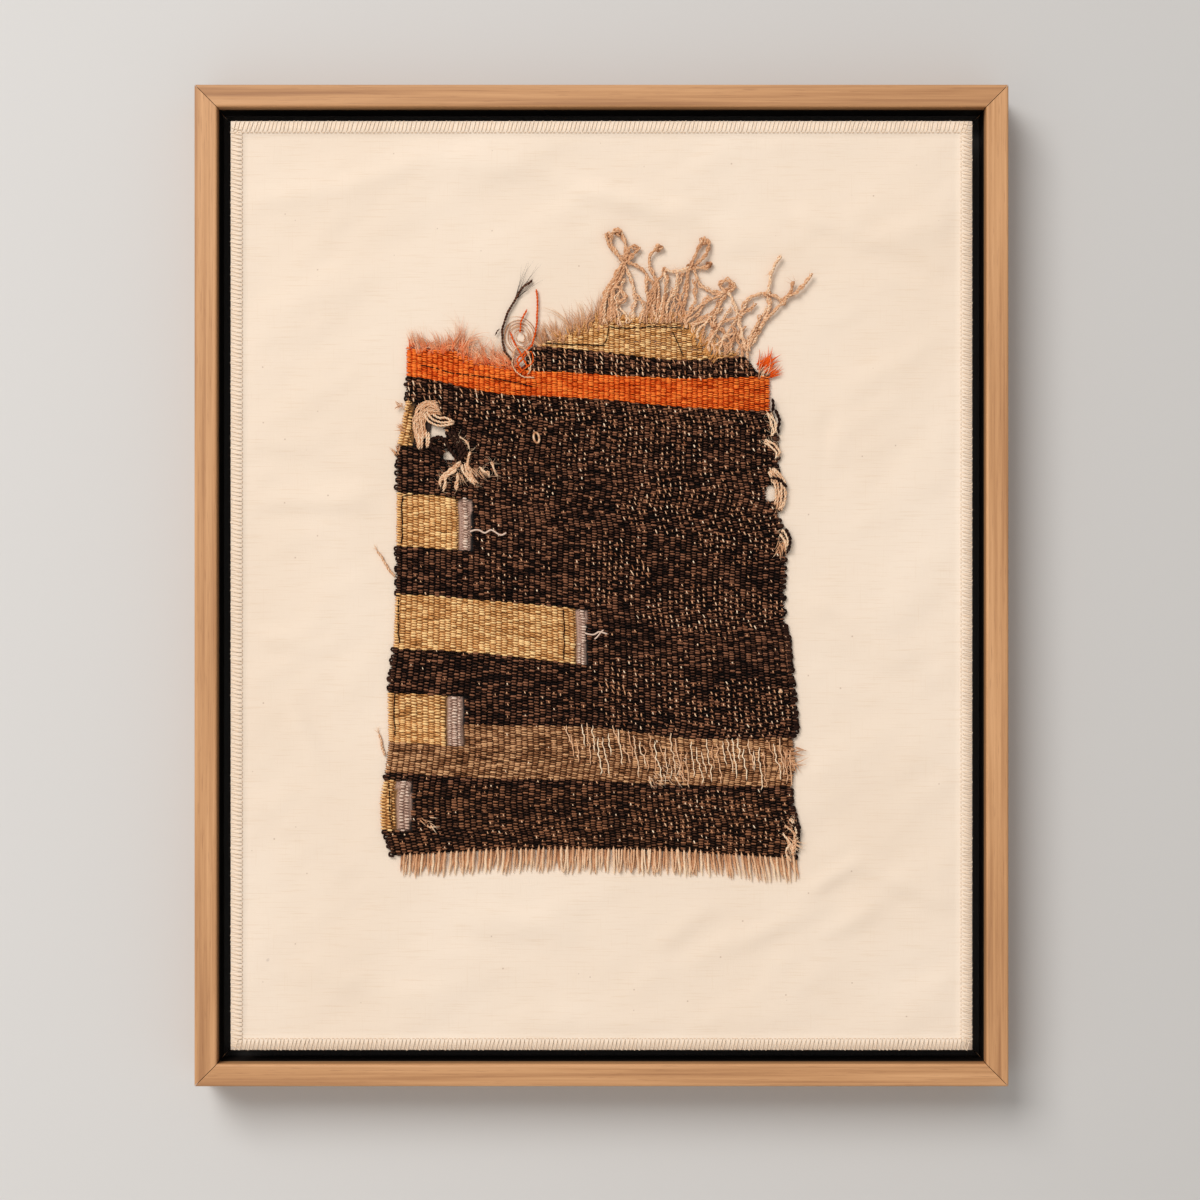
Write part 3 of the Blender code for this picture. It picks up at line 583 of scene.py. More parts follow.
WOOL = {
    "dark": yarn_finish("dark brown wool", (8, 4, 3), (54, 31, 22), (142, 94, 68)),
    "brown": yarn_finish("brown wool", (12, 6, 4), (64, 38, 26), (148, 98, 68)),
    "tan": yarn_finish("tan wool", (52, 28, 14), (144, 94, 60), (214, 164, 118)),
    "gold": yarn_finish("gold wool", (112, 62, 24), (214, 150, 86), (250, 210, 148)),
    "straw": yarn_finish("straw wool", (100, 54, 20), (212, 148, 82), (250, 210, 150)),
    "orange": yarn_finish("orange wool", (112, 24, 2), (216, 76, 12), (250, 134, 54)),
    "lilac": yarn_finish("lilac wool", (132, 94, 78), (204, 168, 148), (240, 218, 198)),
    "warp": yarn_finish("spun warp", (132, 80, 50), (216, 162, 120), (253, 230, 198)),
    "fleece": yarn_finish("bleached fleece", (200, 60, 8), (228, 146, 98), (246, 222, 194)),
}
print(len(WOOL), "yarn finishes")

# %% [markdown]
# ## The overlocked edge
# The canvas is finished by an overlock machine. A needle thread runs in short stitches along a line
# 6 mm in, and a looser thread swings from it out round the raw edge and back, once a stitch. Its slant
# wanders, and its turns show outside the edge as tiny loops.

# %% Overlock stitches
STITCH = 2.27
THREAD = 0.24
LOOP_OUT = -0.1
HEM_FRONT = CANVAS_FRONT - HEM_STEP


def edge_runs():
    """The four edges, each with its start, its direction, the way out and its length, in mm."""
    half_x, half_z = CANVAS_SIZE[0] / 2, CANVAS_SIZE[1] / 2
    return [
        (Vector((-half_x, half_z)), Vector((1, 0)), Vector((0, 1)), CANVAS_SIZE[0]),
        (Vector((half_x, half_z)), Vector((0, -1)), Vector((1, 0)), CANVAS_SIZE[1]),
        (Vector((half_x, -half_z)), Vector((-1, 0)), Vector((0, -1)), CANVAS_SIZE[0]),
        (Vector((-half_x, -half_z)), Vector((0, 1)), Vector((-1, 0)), CANVAS_SIZE[1]),
    ]


def edge_place(run, along, outward, y):
    """A place on an edge: so far along it, so far out of it, at a depth."""
    start, direction, out, _ = run
    flat = start + direction * along + out * outward
    return (flat.x, y, flat.y)


def overlock(run, seed):
    """The looper thread as one zigzag, and the needle thread as short stitches."""
    draw = random.Random(seed)
    count = int((run[3] - 2) / STITCH)
    looper, needles = [], []
    for index in range(count):
        along = 1 + index * STITCH + draw.uniform(-0.25, 0.25)
        slant = 1.3 + 0.9 * noise.noise(Vector((index / 9, seed, 0)))
        out = LOOP_OUT + draw.uniform(-0.2, 0.25)
        looper += [
            edge_place(run, along, -HEM_WIDTH + 0.1, HEM_FRONT - 0.05),
            edge_place(run, along + 0.35 * slant, -HEM_WIDTH + 1.6, HEM_FRONT - 0.3),
            edge_place(run, along + slant, -0.9, HEM_FRONT - 0.28),
            edge_place(run, along + slant + 0.25, out, HEM_FRONT - 0.15),
            edge_place(run, along + slant + 0.8, out - 0.15, HEM_FRONT + 0.1),
            edge_place(run, along + slant + 1.0, -0.7, HEM_FRONT + 0.1),
        ]
        begin, end = along + 0.3, along + STITCH - 0.35
        stitch = [
            edge_place(run, begin, -HEM_WIDTH - 0.1, HEM_FRONT + 0.2),
            edge_place(run, begin + 0.3, -HEM_WIDTH - 0.1, HEM_FRONT - 0.12),
            edge_place(run, end - 0.3, -HEM_WIDTH - 0.1, HEM_FRONT - 0.12),
            edge_place(run, end, -HEM_WIDTH - 0.1, HEM_FRONT + 0.2),
        ]
        needles.append(Yarn(stitch, pointed(4, 0.17), [0.45] * 4))
    tones = [0.66 + 0.2 * noise.noise(Vector((index / 5, seed, 3))) for index in range(len(looper))]
    return [Yarn(looper, pointed(len(looper), THREAD), tones), *needles]


COTTON_THREAD = yarn_finish("cotton thread", (196, 166, 136), (232, 206, 178), (255, 240, 220), 0.12)
stitches = [yarn for seed, run in enumerate(edge_runs()) for yarn in overlock(run, seed)]
overlock_edge = lay_yarn("overlock_edge", stitches, COTTON_THREAD)

# %% [markdown]
# ## The plan of the weave
# A kilim is weft-faced: the warps run up and down, hidden, and the wefts are beaten so close over them
# that only wefts show. Where the colour changes, one weft turns back and another begins. The rows aren't
# straight, because the cloth has been pulled about, so the plan holds a few heights across the width for
# each line that can be followed on the cloth, and the rows between are spaced evenly. The selvedges and
# the torn upper edge are short tables. All this repeats the solid's own outline.

# %% Weave plan
WARPS = 70
Fell = namedtuple("Fell", "left quarter middle three_quarter right wefts")
FELLS = [
    Fell(-145.5, -142.8, -142.2, -143.9, -147.0, 54),
    Fell(-100.7, -103.9, -105.0, -107.7, -108.2, 46),
    Fell(-72.0, -75.3, -76.4, -82.8, -82.3, 48),
    Fell(-34.2, -36.9, -43.1, -44.5, -45.6, 42),
    Fell(-4.5, -8.3, -13.2, -17.0, -21.8, 80),
    Fell(50.0, 45.7, 43.0, 40.8, 38.7, 84),
    Fell(113.0, 103.6, 100.9, 96.4, 94.0, 32),
    Fell(126.0, 117.5, 114.2, 111.6, 112.8, 19),
    Fell(136.0, 131.0, 126.8, 121.6, 124.5, 38),
    Fell(152.0, 149.0, 145.5, 144.5, 146.0, 0),
]
SELVEDGE_LEFT = [
    (-147, -113.4), (-136, -116.0), (-131, -119.0), (-116, -119.4), (-101, -116.9), (-85, -114.8),
    (-58, -115.5), (-34, -112.3), (3, -110.8), (75, -110.4), (82, -108.8), (99, -105.6), (113, -105.1),
]
SELVEDGE_RIGHT = [
    (-147, 105.0), (-131, 107.0), (-121, 104.0), (-110, 102.3), (-97, 104.8), (-83, 103.4), (-76, 106.1),
    (-51, 103.4), (-29, 101.3), (-19, 98.6), (-2, 98.6), (25, 100.2), (38, 95.0), (49, 98.6), (62, 95.3),
    (84, 94.8), (94, 90.9),
]
TORN_EDGE = [
    (-103.4, 128.0), (-80.0, 126.5), (-65.0, 121.0), (-50.0, 119.0), (-42.5, 117.8), (-39.5, 127.5),
    (-35.0, 129.8),
    (-26.7, 132.6), (-6.2, 140.7), (-0.8, 144.5), (42.4, 144.5), (46.7, 138.0), (59.7, 124.5),
    (66.0, 126.0), (72.0, 127.0), (77.5, 124.0), (81.0, 120.0), (84.0, 115.5), (91.0, 113.0),
]
Gap = namedtuple("Gap", "x z half_width half_height")
GAPS = [Gap(-88.3, 81.7, 4.2, 2.6), Gap(-82.4, 70.0, 3.1, 2.3), Gap(91.2, 49.5, 2.2, 4.2)]
WHORL = Gap(-92.5, 86.0, 7.0, 9.0)


def read(table, at):
    """Straight-line reading of a short table."""
    keys, values = zip(*table)
    return np.interp(at, keys, values)


def fell_height(fell, share):
    """Heights along a line of the cloth, a soft curve through its five stations."""
    stations = np.array(fell[:5])
    place = np.clip(share, 0.0, 1.0) * (len(stations) - 1)
    index = np.minimum(place.astype(int), len(stations) - 2)
    local = place - index
    before, first = stations[np.maximum(index - 1, 0)], stations[index]
    second, after = stations[index + 1], stations[np.minimum(index + 2, len(stations) - 1)]
    return 0.5 * (
        2 * first
        + (second - before) * local
        + (2 * before - 5 * first + 4 * second - after) * local ** 2
        + (3 * first - before - 3 * second + after) * local ** 3
    )


def cloth_place(band, rise, share):
    """x and z in mm at a rise within a band, for an array of shares of the width."""
    low, high = FELLS[band], FELLS[band + 1]
    left = read(SELVEDGE_LEFT, low.left + (high.left - low.left) * rise)
    right = read(SELVEDGE_RIGHT, low.right + (high.right - low.right) * rise)
    z_low = fell_height(low, share)
    return left + (right - left) * share, z_low + (fell_height(high, share) - z_low) * rise


def cloth_wave(x, z):
    """The slow unevenness of the cloth in depth, in mm."""
    return 0.10 * (math.sin(x / 21) + math.cos(z / 17)) + 0.18 * noise.noise(Vector((x / 16, z / 13, 4)))


print(sum(fell.wefts for fell in FELLS), "wefts over", WARPS, "warps")

# %% [markdown]
# ## Which yarn lies where
# The pattern is plain: stepped gold blocks along the left side, each ending in a narrow lilac strip, a tan
# band low down, an orange band near the top with a flap of orange to its left, a dark band above it and a
# straw coloured block on top. Blocks are written as a band of the plan, a rise within it and a right end.

# %% Colour plan
Block = namedtuple("Block", "yarn band low high right")
BLOCKS = [
    Block("gold", 0, 0.30, 0.90, -110.2), Block("lilac", 0, 0.30, 0.90, -103.0),
    Block("gold", 1, 0.56, 1.0, -83.1), Block("lilac", 1, 0.56, 1.0, -74.8),
    Block("gold", 2, 0.0, 0.38, -83.1), Block("lilac", 2, 0.0, 0.38, -74.8),
    Block("gold", 3, 0.0, 1.0, -13.3), Block("lilac", 3, 0.0, 1.0, -8.2),
    Block("gold", 4, 0.475, 1.0, -76.7), Block("lilac", 4, 0.475, 1.0, -70.4),
    Block("gold", 5, 0.40, 0.78, -101.4),
]
FLAP_END = -42.0


def inside(gap, x, z):
    return ((x - gap.x) / gap.half_width) ** 2 + ((z - gap.z) / gap.half_height) ** 2 < 1


def yarn_at(band, rise, x, z):
    """The yarn at a place of the cloth, or None where no weft is left."""
    if any(inside(gap, x, z) for gap in GAPS) or z > read(TORN_EDGE, x):
        return None
    for block in BLOCKS:
        if block.band == band and block.low <= rise <= block.high and x < block.right:
            return block.yarn
    if inside(WHORL, x, z):
        return None
    if band == 0:
        return "dark" if rise > 0.88 else "brown"
    if band == 1:
        return "tan"
    if band < 6:
        return "dark"
    if band == 6 or x < FLAP_END:
        return "orange"
    return "dark" if band == 7 else "straw"


print(len(BLOCKS), "gold and lilac blocks in the dark ground")

# %% [markdown]
# ## Laying the wefts
# Each weft passes over one warp and under the next, and its neighbour does the opposite. Over a warp the
# yarn swells, because nothing holds it there, and beside it the yarn is nipped thin and dives. Two places
# make the swelling and two the nips; under a warp it needs none. The tube is flattened in depth, as beaten
# wool is. Its tone carries painted light: a painted highlight on the swelling and painted shade where it
# dives and turns, which the eye reads as ribs. A row is cut where its yarn changes, and each stretch goes
# to the heap of its own colour.

# %% Wefts
COVER_FRONT = -14.45
COVER_BACK = -13.60
WEFT_FLATTEN = 0.66
SWELL, NIP = 0.24, 0.43
FAT = {"dark": 0.53, "brown": 0.53, "tan": 0.52, "gold": 0.56, "straw": 0.46, "orange": 0.46, "lilac": 0.54}
BASE_TONE = {"dark": 0.42, "brown": 0.44, "tan": 0.58, "gold": 0.66, "straw": 0.66, "orange": 0.70,
             "lilac": 0.6}
CONTRAST = {"dark": 0.34, "brown": 0.30, "tan": 0.24, "gold": 0.17, "straw": 0.2, "orange": 0.15,
            "lilac": 0.12}
DIVE_SHADE = {"dark": 0.9, "brown": 0.9, "tan": 0.5, "gold": 0.34, "straw": 0.4, "orange": 0.42,
              "lilac": 0.35}
draw = random.Random(7)

Crossing = namedtuple("Crossing", "x z depth band rise yarn")
heaps = {}
crossings = []
row_number = 0


def over_and_under(first_over):
    """The stations of one weft: (share of the width, kind), where kind is swell, nip, under or turn."""
    stations = [(0.0, "turn")]
    for warp in range(WARPS):
        middle = (warp + 0.5) / WARPS
        if (warp + first_over) % 2 == 0:
            nip, swell = NIP / WARPS, SWELL / WARPS
            stations += [(middle - nip, "nip"), (middle - swell, "swell"), (middle + swell, "swell"),
                         (middle + nip, "nip")]
        else:
            stations.append((middle, "under"))
    return [*stations, (1.0, "turn")]


# kind: depth, share of the fatness, share of the dive's painted shade; below zero it is a painted highlight
SHAPES = {
    "swell": (COVER_FRONT, 1.0, -0.12), "nip": (COVER_BACK - 0.15, 0.62, 0.5),
    "under": (COVER_BACK, 0.0, 1.0), "turn": (COVER_BACK - 0.3, 0.85, 0.35),
}
STATIONS = [over_and_under(0), over_and_under(1)]
for band, fell in enumerate(FELLS[:-1]):
    for step in range(fell.wefts):
        rise = (step + 0.5) / fell.wefts
        row_number += 1
        stations = STATIONS[row_number % 2]
        xs, zs = cloth_place(band, rise, np.array([share for share, _ in stations]))
        slant = 0.06 + 0.20 * noise.noise(Vector((row_number / 9, 1, 1)))
        row_tone = 0.07 * noise.noise(Vector((row_number / 2.3, 5, 1)))
        stretch, stretch_yarn, lump, leaning = [], None, 0.0, 1
        for (_, kind), x, z in zip(stations, xs, zs):
            yarn = yarn_at(band, rise, x, z)
            wave = cloth_wave(x, z)
            beat = 0.34 * noise.noise(Vector((x / 14, row_number / 5, 0)))
            beat += 0.24 * noise.noise(Vector((x / 3.4, row_number / 1.7, 8)))
            depth, fat, shade = SHAPES[kind]
            if kind == "under":
                lump, leaning = draw.gauss(0, 1), 1
                if yarn:
                    crossings.append(Crossing(x, z + beat, COVER_FRONT - wave, band, rise, yarn))
            elif kind == "swell":
                if leaning == 1:
                    shift, hop = draw.gauss(0, 0.20), draw.gauss(0, 0.13)
                x += shift + leaning * -0.12 * lump
                beat += hop + slant * leaning
                leaning = -leaning
            elif kind == "turn":
                x += 0.8 * noise.noise(Vector((row_number / 2.1, x, 1))) + math.copysign(0.2, x)
            if yarn != stretch_yarn:
                if stretch_yarn and len(stretch) > 2:
                    heaps.setdefault((stretch_yarn, band), []).append(stretch)
                stretch, stretch_yarn = [], yarn
            if not yarn or kind == "under" and stretch:
                continue
            patchy = (0.26 * noise.noise(Vector((x / 8, z / 5, 2)))
                      + 0.14 * noise.noise(Vector((x / 30, z / 20, 9))))
            # DIVE_SHADE paints shade where the yarn dives or turns and a highlight on the swell
            tone = BASE_TONE[yarn] + patchy + row_tone + CONTRAST[yarn] * 0.75 * lump - DIVE_SHADE[yarn] * shade
            radius = FAT[yarn] * max(fat, 0.3) * (1 + 0.12 * clamp(lump, -2, 2))
            stretch.append(((x, depth - wave, z + beat), radius, clamp(tone)))
        if stretch_yarn and len(stretch) > 3:
            heaps.setdefault((stretch_yarn, band), []).append(stretch)


def wefts_of(yarn, bands):
    """The stretches of one yarn in some bands, as yarns that come to a point at their ends."""
    laid = []
    for band in bands:
        for stretch in heaps.get((yarn, band), []):
            places, radii, tones = (list(values) for values in zip(*stretch))
            radii[0] = radii[-1] = 0.0
            laid.append(Yarn(places, radii, tones))
    return laid


# the last number of each is fade: a painted highlight on the upper side of every weft and painted shade below
weft_pieces = [
    lay_yarn("wefts_dark_lower", wefts_of("dark", (0, 1, 2, 3)), WOOL["dark"], WEFT_FLATTEN,
             0.30),
    lay_yarn("wefts_dark_middle", wefts_of("dark", (4,)), WOOL["dark"], WEFT_FLATTEN, 0.30),
    lay_yarn("wefts_dark_upper", wefts_of("dark", (5, 6, 7, 8)), WOOL["dark"], WEFT_FLATTEN,
             0.30),
    lay_yarn("wefts_brown", wefts_of("brown", range(9)), WOOL["brown"], WEFT_FLATTEN, 0.30),
    lay_yarn("wefts_tan", wefts_of("tan", range(9)), WOOL["tan"], WEFT_FLATTEN, 0.18),
    lay_yarn("wefts_gold", wefts_of("gold", range(9)), WOOL["gold"], WEFT_FLATTEN, 0.18),
    lay_yarn("wefts_straw", wefts_of("straw", range(9)), WOOL["straw"], WEFT_FLATTEN, 0.18),
    lay_yarn("wefts_lilac", wefts_of("lilac", range(9)), WOOL["lilac"], WEFT_FLATTEN, 0.18),
    lay_yarn("wefts_orange", wefts_of("orange", range(9)), WOOL["orange"], WEFT_FLATTEN, 0.16),
]
print(len(crossings), "crossings")

# %% [markdown]
# ## Warps that peep through
# The dark wool has thinned with wear, and the pale warp shows through it as small slanting dashes. They
# sit only where a warp lies on top between two covering wefts, so each takes one of the crossings kept
# above. They aren't even: some parts of the field are full of them, others have almost none. A short
# table of patches gives their share, and a slow noise breaks the patches' outlines.

# %% Peeping warps
Patch = namedtuple("Patch", "x z half_width half_height share length")
PATCHES = [
    Patch(-8, 95, 108, 7, 0.55, 1.0), Patch(45, 87, 50, 9, 0.55, 1.0), Patch(0, 82, 24, 22, 0.34, 0.8),
    Patch(36, 73, 20, 13, 0.42, 0.9), Patch(75, 70, 26, 14, 0.20, 0.9), Patch(33, 44, 24, 15, 0.40, 1.1),
    Patch(34, 50, 14, 5, 0.60, 1.6), Patch(76, 27, 26, 15, 0.55, 1.0), Patch(5, 8, 20, 18, 0.34, 1.0),
    Patch(19, 9, 8, 5, 0.60, 1.6), Patch(60, -12, 40, 12, 0.55, 1.0), Patch(72, 48, 28, 10, 0.25, 0.9),
    Patch(26, -60, 30, 22, 0.26, 1.0), Patch(10, -55, 12, 5, 0.45, 1.6), Patch(78, -66, 28, 15, 0.58, 1.0),
    Patch(-48, 45, 28, 55, 0.12, 0.8), Patch(62, -126, 44, 16, 0.32, 1.0),
    Patch(-20, -130, 50, 12, 0.10, 0.8),
    Patch(20, 118, 80, 9, 0.55, 1.4), Patch(-75, 104, 36, 9, 0.55, 1.5), Patch(20, -45, 26, 8, 0.20, 1.0),
]
BASE_SHARE = {"dark": 0.035, "brown": 0.05, "tan": 0.03}


def peeping_warps():
    draw = random.Random(19)
    dashes = []
    last = {}
    for spot in crossings:
        if spot.yarn not in BASE_SHARE:
            continue
        share, length = BASE_SHARE[spot.yarn], 0.8
        for patch in PATCHES:
            away = math.hypot((spot.x - patch.x) / patch.half_width, (spot.z - patch.z) / patch.half_height)
            strength = patch.share * clamp((1.15 - away) / 0.35)
            if strength > share:
                share, length = strength, patch.length
        share *= clamp(1.2 + 2.2 * noise.noise(Vector((spot.x / 6, spot.z / 5, 6))), 0.05, 2.4)
        column = round(spot.x / 1.6)
        close = spot.z - max(last.get(column + step, -999) for step in (-1, 0, 1)) < 2.3
        if draw.random() > 1.5 * share or close:
            continue
        last[column] = spot.z
        half = length * draw.uniform(0.45, 1.05)
        lean = half * draw.uniform(0.1, 0.8)
        thick = draw.uniform(0.26, 0.48)
        middle_x = spot.x + draw.uniform(-0.5, 0.5)
        front = spot.depth - 0.12
        places = [
            (middle_x - lean, front + 0.45, spot.z + half * 1.25),
            (middle_x - lean * 0.6, front, spot.z + half * 0.7),
            (middle_x, front - 0.12, spot.z), (middle_x + lean * 0.6, front, spot.z - half * 0.7),
            (middle_x + lean, front + 0.45, spot.z - half * 1.25),
        ]
        tone = clamp(draw.gauss(0.48, 0.24), 0.0, 1.0)
        # the two ends, where the dash dives under the wefts, are painted 0.3 darker as shade
        dashes.append(Yarn(places, [0, thick * 0.8, thick, thick * 0.8, 0],
                           [tone - 0.3, tone, tone, tone, tone - 0.3]))
    return dashes


warp_dashes = lay_yarn("peeping_warps", peeping_warps(), WOOL["warp"])

# %% [markdown]
# ## The ground under the wefts
# Between the yarns the eye meets shadow, not canvas. A thin sheet behind the wefts stands for the mass of
# packed wool there. It follows the same plan, takes a dark tone of the yarn above it, and has the real
# gaps cut out.

# %% Ground sheet
GROUND_FRONT = -13.35
GROUND_THICKNESS = 0.4
GROUND_ROWS_PER_BAND = 18
# painted shade: each tone is darker than its yarn, so that the gaps between the wefts read as shadow
GROUND_SHADE_TONES = {
    "dark": (14, 9, 8), "brown": (22, 14, 10), "tan": (80, 54, 34), "gold": (130, 88, 42),
    "straw": (112, 74, 36), "orange": (132, 40, 8), "lilac": (190, 154, 136), None: (60, 44, 36),
}


def ground_mesh():
    """A grid on the weave plan, its colour a darker tone of each yarn as painted shade between the wefts,
    without its gaps.
    """
    rows = [(band, step / GROUND_ROWS_PER_BAND) for band in range(8) for step in range(GROUND_ROWS_PER_BAND)]
    rows.append((7, 1.0))
    columns = 2 * WARPS
    bm = bmesh.new()
    bmesh.ops.create_grid(bm, x_segments=columns, y_segments=len(rows) - 1, size=0.5)
    shade = bm.verts.layers.float_color.new("shade")
    grid = [cloth_place(band, rise, np.linspace(0, 1, columns + 1)) for band, rise in rows]
    gone = []
    for vert in bm.verts:
        column = round((vert.co.x + 0.5) * columns)
        row = round((vert.co.y + 0.5) * (len(rows) - 1))
        x, z = grid[row][0][column], grid[row][1][column]
        top = read(TORN_EDGE, x) - 0.6
        if z > top + 1.5 or any(inside(gap, x, z) for gap in GAPS):
            gone.append(vert)
        yarn = yarn_at(*rows[row], x, min(z, top))
        vert[shade] = card(GROUND_SHADE_TONES[yarn])
        inset = {0: 0.9, columns: -0.9}.get(column, 0)
        vert.co = ((x + inset) * MM, (GROUND_FRONT - 0.5 * cloth_wave(x, z)) * MM, min(z, top) * MM)
    bmesh.ops.delete(bm, geom=gone, context="VERTS")
    bmesh.ops.recalc_face_normals(bm, faces=bm.faces)
    if bm.faces[0].normal.y > 0:
        bmesh.ops.reverse_faces(bm, faces=bm.faces)
    return bm


def ground_finish():
    material, tree, shader = new_finish("packed wool in painted shade", 0.95)
    shade = add(tree, "ShaderNodeAttribute", {}, attribute_name="shade").outputs["Color"]
    fibres = rescale(tree, speckle(tree, (1500, 1500, 1500), 3.0, 0.7), 0.3, 0.7, 0.55, 1.2)
    grey = add(tree, "ShaderNodeCombineColor", {0: fibres, 1: fibres, 2: fibres}).outputs[0]
    tree.links.new(blend(tree, 1.0, shade, grey, "MULTIPLY"), shader.inputs["Base Color"])
    raise_surface(tree, shader, fibres, 0.1 * MM, 0.6)
    return material


kilim_ground = finish_mesh("kilim_ground", ground_mesh(), ground_finish())
backing = kilim_ground.modifiers.new("thickness", "SOLIDIFY")
backing.thickness = GROUND_THICKNESS * MM
backing.offset = -1.0
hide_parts("kilim_weave")

# %% [markdown]
# ## Loose ends, in general
# All the loose ends are laid in the same few ways. A route comes from a few given points. A spun
# yarn is two plies twisted round its route. A hair is a thin tapering tube that bends a little more at
# every step. A tuft is a bundle of hairs from nearly one place.

# %% Loose end helpers
CLOTH_TOP = COVER_FRONT - 0.42
CANVAS_TOP = CANVAS_FRONT - 0.1
draw = random.Random(31)


def wander(route, amount, seed, pace=4.0):
    """A route moved slowly off its line, as limp yarn lies."""
    return [
        (
            x + amount * noise.noise(Vector((index / pace, seed, 0))),
            y - 0.4 * abs(amount * noise.noise(Vector((index / pace, seed, 7)))),
            z + amount * noise.noise(Vector((index / pace, seed, 3))),
        )
        for index, (x, y, z) in enumerate(route)
    ]


def two_ply(route, radius, pitch, tone, step=0.7):
    """Two plies twisted round a route, with pointed ends."""
    laid = []
    for ply in range(2):
        places, tones = [], []
        for index, place in enumerate(route):
            along = Vector(route[min(index + 1, len(route) - 1)]) - Vector(route[max(index - 1, 0)])
            side = along.cross(Vector((0, 1, 0))).normalized()
            turn = math.tau * (index * step / pitch + ply / 2)
            offset = side * math.cos(turn) - Vector((0, 1, 0)) * math.sin(turn)
            places.append(tuple(Vector(place) + offset * radius * 0.48))
            # painted light and shade: a ply is lighter where the twist brings it to the front and darker where
            # it turns behind the other
            tones.append(clamp(
                tone + 0.22 * math.sin(turn) + 0.2 * noise.noise(Vector((index / 3, tone * 9, ply)))))
        laid.append(Yarn(places, pointed(len(places), radius * 0.6, 2, 3), tones))
    return laid


def hair(root, angle, length, bend, radius, tones, steps=8, rise=0.0):
    """One hair from its root, in mm, its heading turning by the bend (degrees) along its length."""
    x, y, z = root
    places = [(x, y, z)]
    for step in range(steps):
        heading = math.radians(angle + bend * step / steps)
        x += math.cos(heading) * length / steps
        z += math.sin(heading) * length / steps
        y -= rise / steps
        places.append((x, y, z))
    first, last = tones
    run = [first + (last - first) * (index / steps) ** 0.65 for index in range(steps + 1)]
    return Yarn(places, pointed(steps + 1, radius, 1, steps * 0.7), [clamp(tone) for tone in run])


def tuft(x, z, count, angle, fan, length, radius, tones, spread=0.8, y=None, bend=50):
    """Hairs that leave nearly one place in nearly one direction."""
    y = CLOTH_TOP if y is None else y
    laid = []
    for _ in range(count):
        root = (x + draw.uniform(-spread, spread), y + draw.uniform(-0.1, 0.35),
                z + draw.uniform(-spread, spread))
        reach = length * draw.uniform(0.6, 1.15)
        shift = draw.uniform(-0.15, 0.15)
        laid.append(hair(root, angle + draw.uniform(-fan, fan), reach, draw.uniform(-bend, bend),
                         radius * draw.uniform(0.7, 1.3), (tones[0] + shift, tones[1] + shift)))
    return laid


def lock(root, angle, length, bend, radius, tones, count=6, width=0.7):
    """A lock: hairs that start side by side and keep together."""
    laid = []
    for _ in range(count):
        start = (root[0] + draw.uniform(-width, width), root[1] + draw.uniform(-0.3, 0.3),
                 root[2] + draw.uniform(-1, 1))
        laid.append(hair(start, angle + draw.gauss(0, 5), length * draw.uniform(0.7, 1.1),
                         bend + draw.gauss(0, 14),
                         radius * draw.uniform(0.7, 1.2), tones, 9))
    return laid


print("loose ends lie on the weave at", round(CLOTH_TOP, 2), "mm and on the canvas at", round(CANVAS_TOP, 2))


# %% [markdown]
# ## The bottom fringe
# Below the last weft the cut warps hang free. Each is spun of two plies that have come apart, so three
# short strands start at each warp: one in front, which rises out of the cloth as a light dash, and two
# behind it. On the left they lean a little to the left, on the right clearly to the right. A few warps
# near the middle are loops that turn up again.

# %% Bottom fringe
FRINGE_LEAN = [(-110, -1.2), (-40, -0.9), (-10, -0.2), (30, 0.6), (60, 2.0), (85, 3.4), (105, 2.2)]
FRINGE_LOOPS = [8.0, 14.5, 23.0, 28.5, 38.0, 47.5, -22.0]


def fringe_strand(x, z, top, lean, length, radius, tone, front):
    """A strand from a little above the cloth's edge to its free tip."""
    y = CLOTH_TOP - 0.15 if front else CANVAS_TOP - 1.0
    places = [
        (x, y + 0.5, z + top), (x + 0.1 * lean, y, z + top * 0.4),
        (x + 0.3 * lean, y + (0.5 if front else 0), z - 3),
        (x + 0.7 * lean, CANVAS_TOP - 1.0, z - length * 0.7), (x + lean, CANVAS_TOP - 0.55, z - length),
    ]
    route = wander(soft_route(places, 1.5), 0.5, x * 3 + tone, 3)
    radii = pointed(len(route), radius, 1.6, 3.5)
    # painted shade: each strand is darker at its root, where it leaves the cloth, and lighter towards its tip
    tones = [clamp(tone - 0.22 + 0.42 * index / len(route)) for index in range(len(route))]
    return Yarn(route, radii, tones)


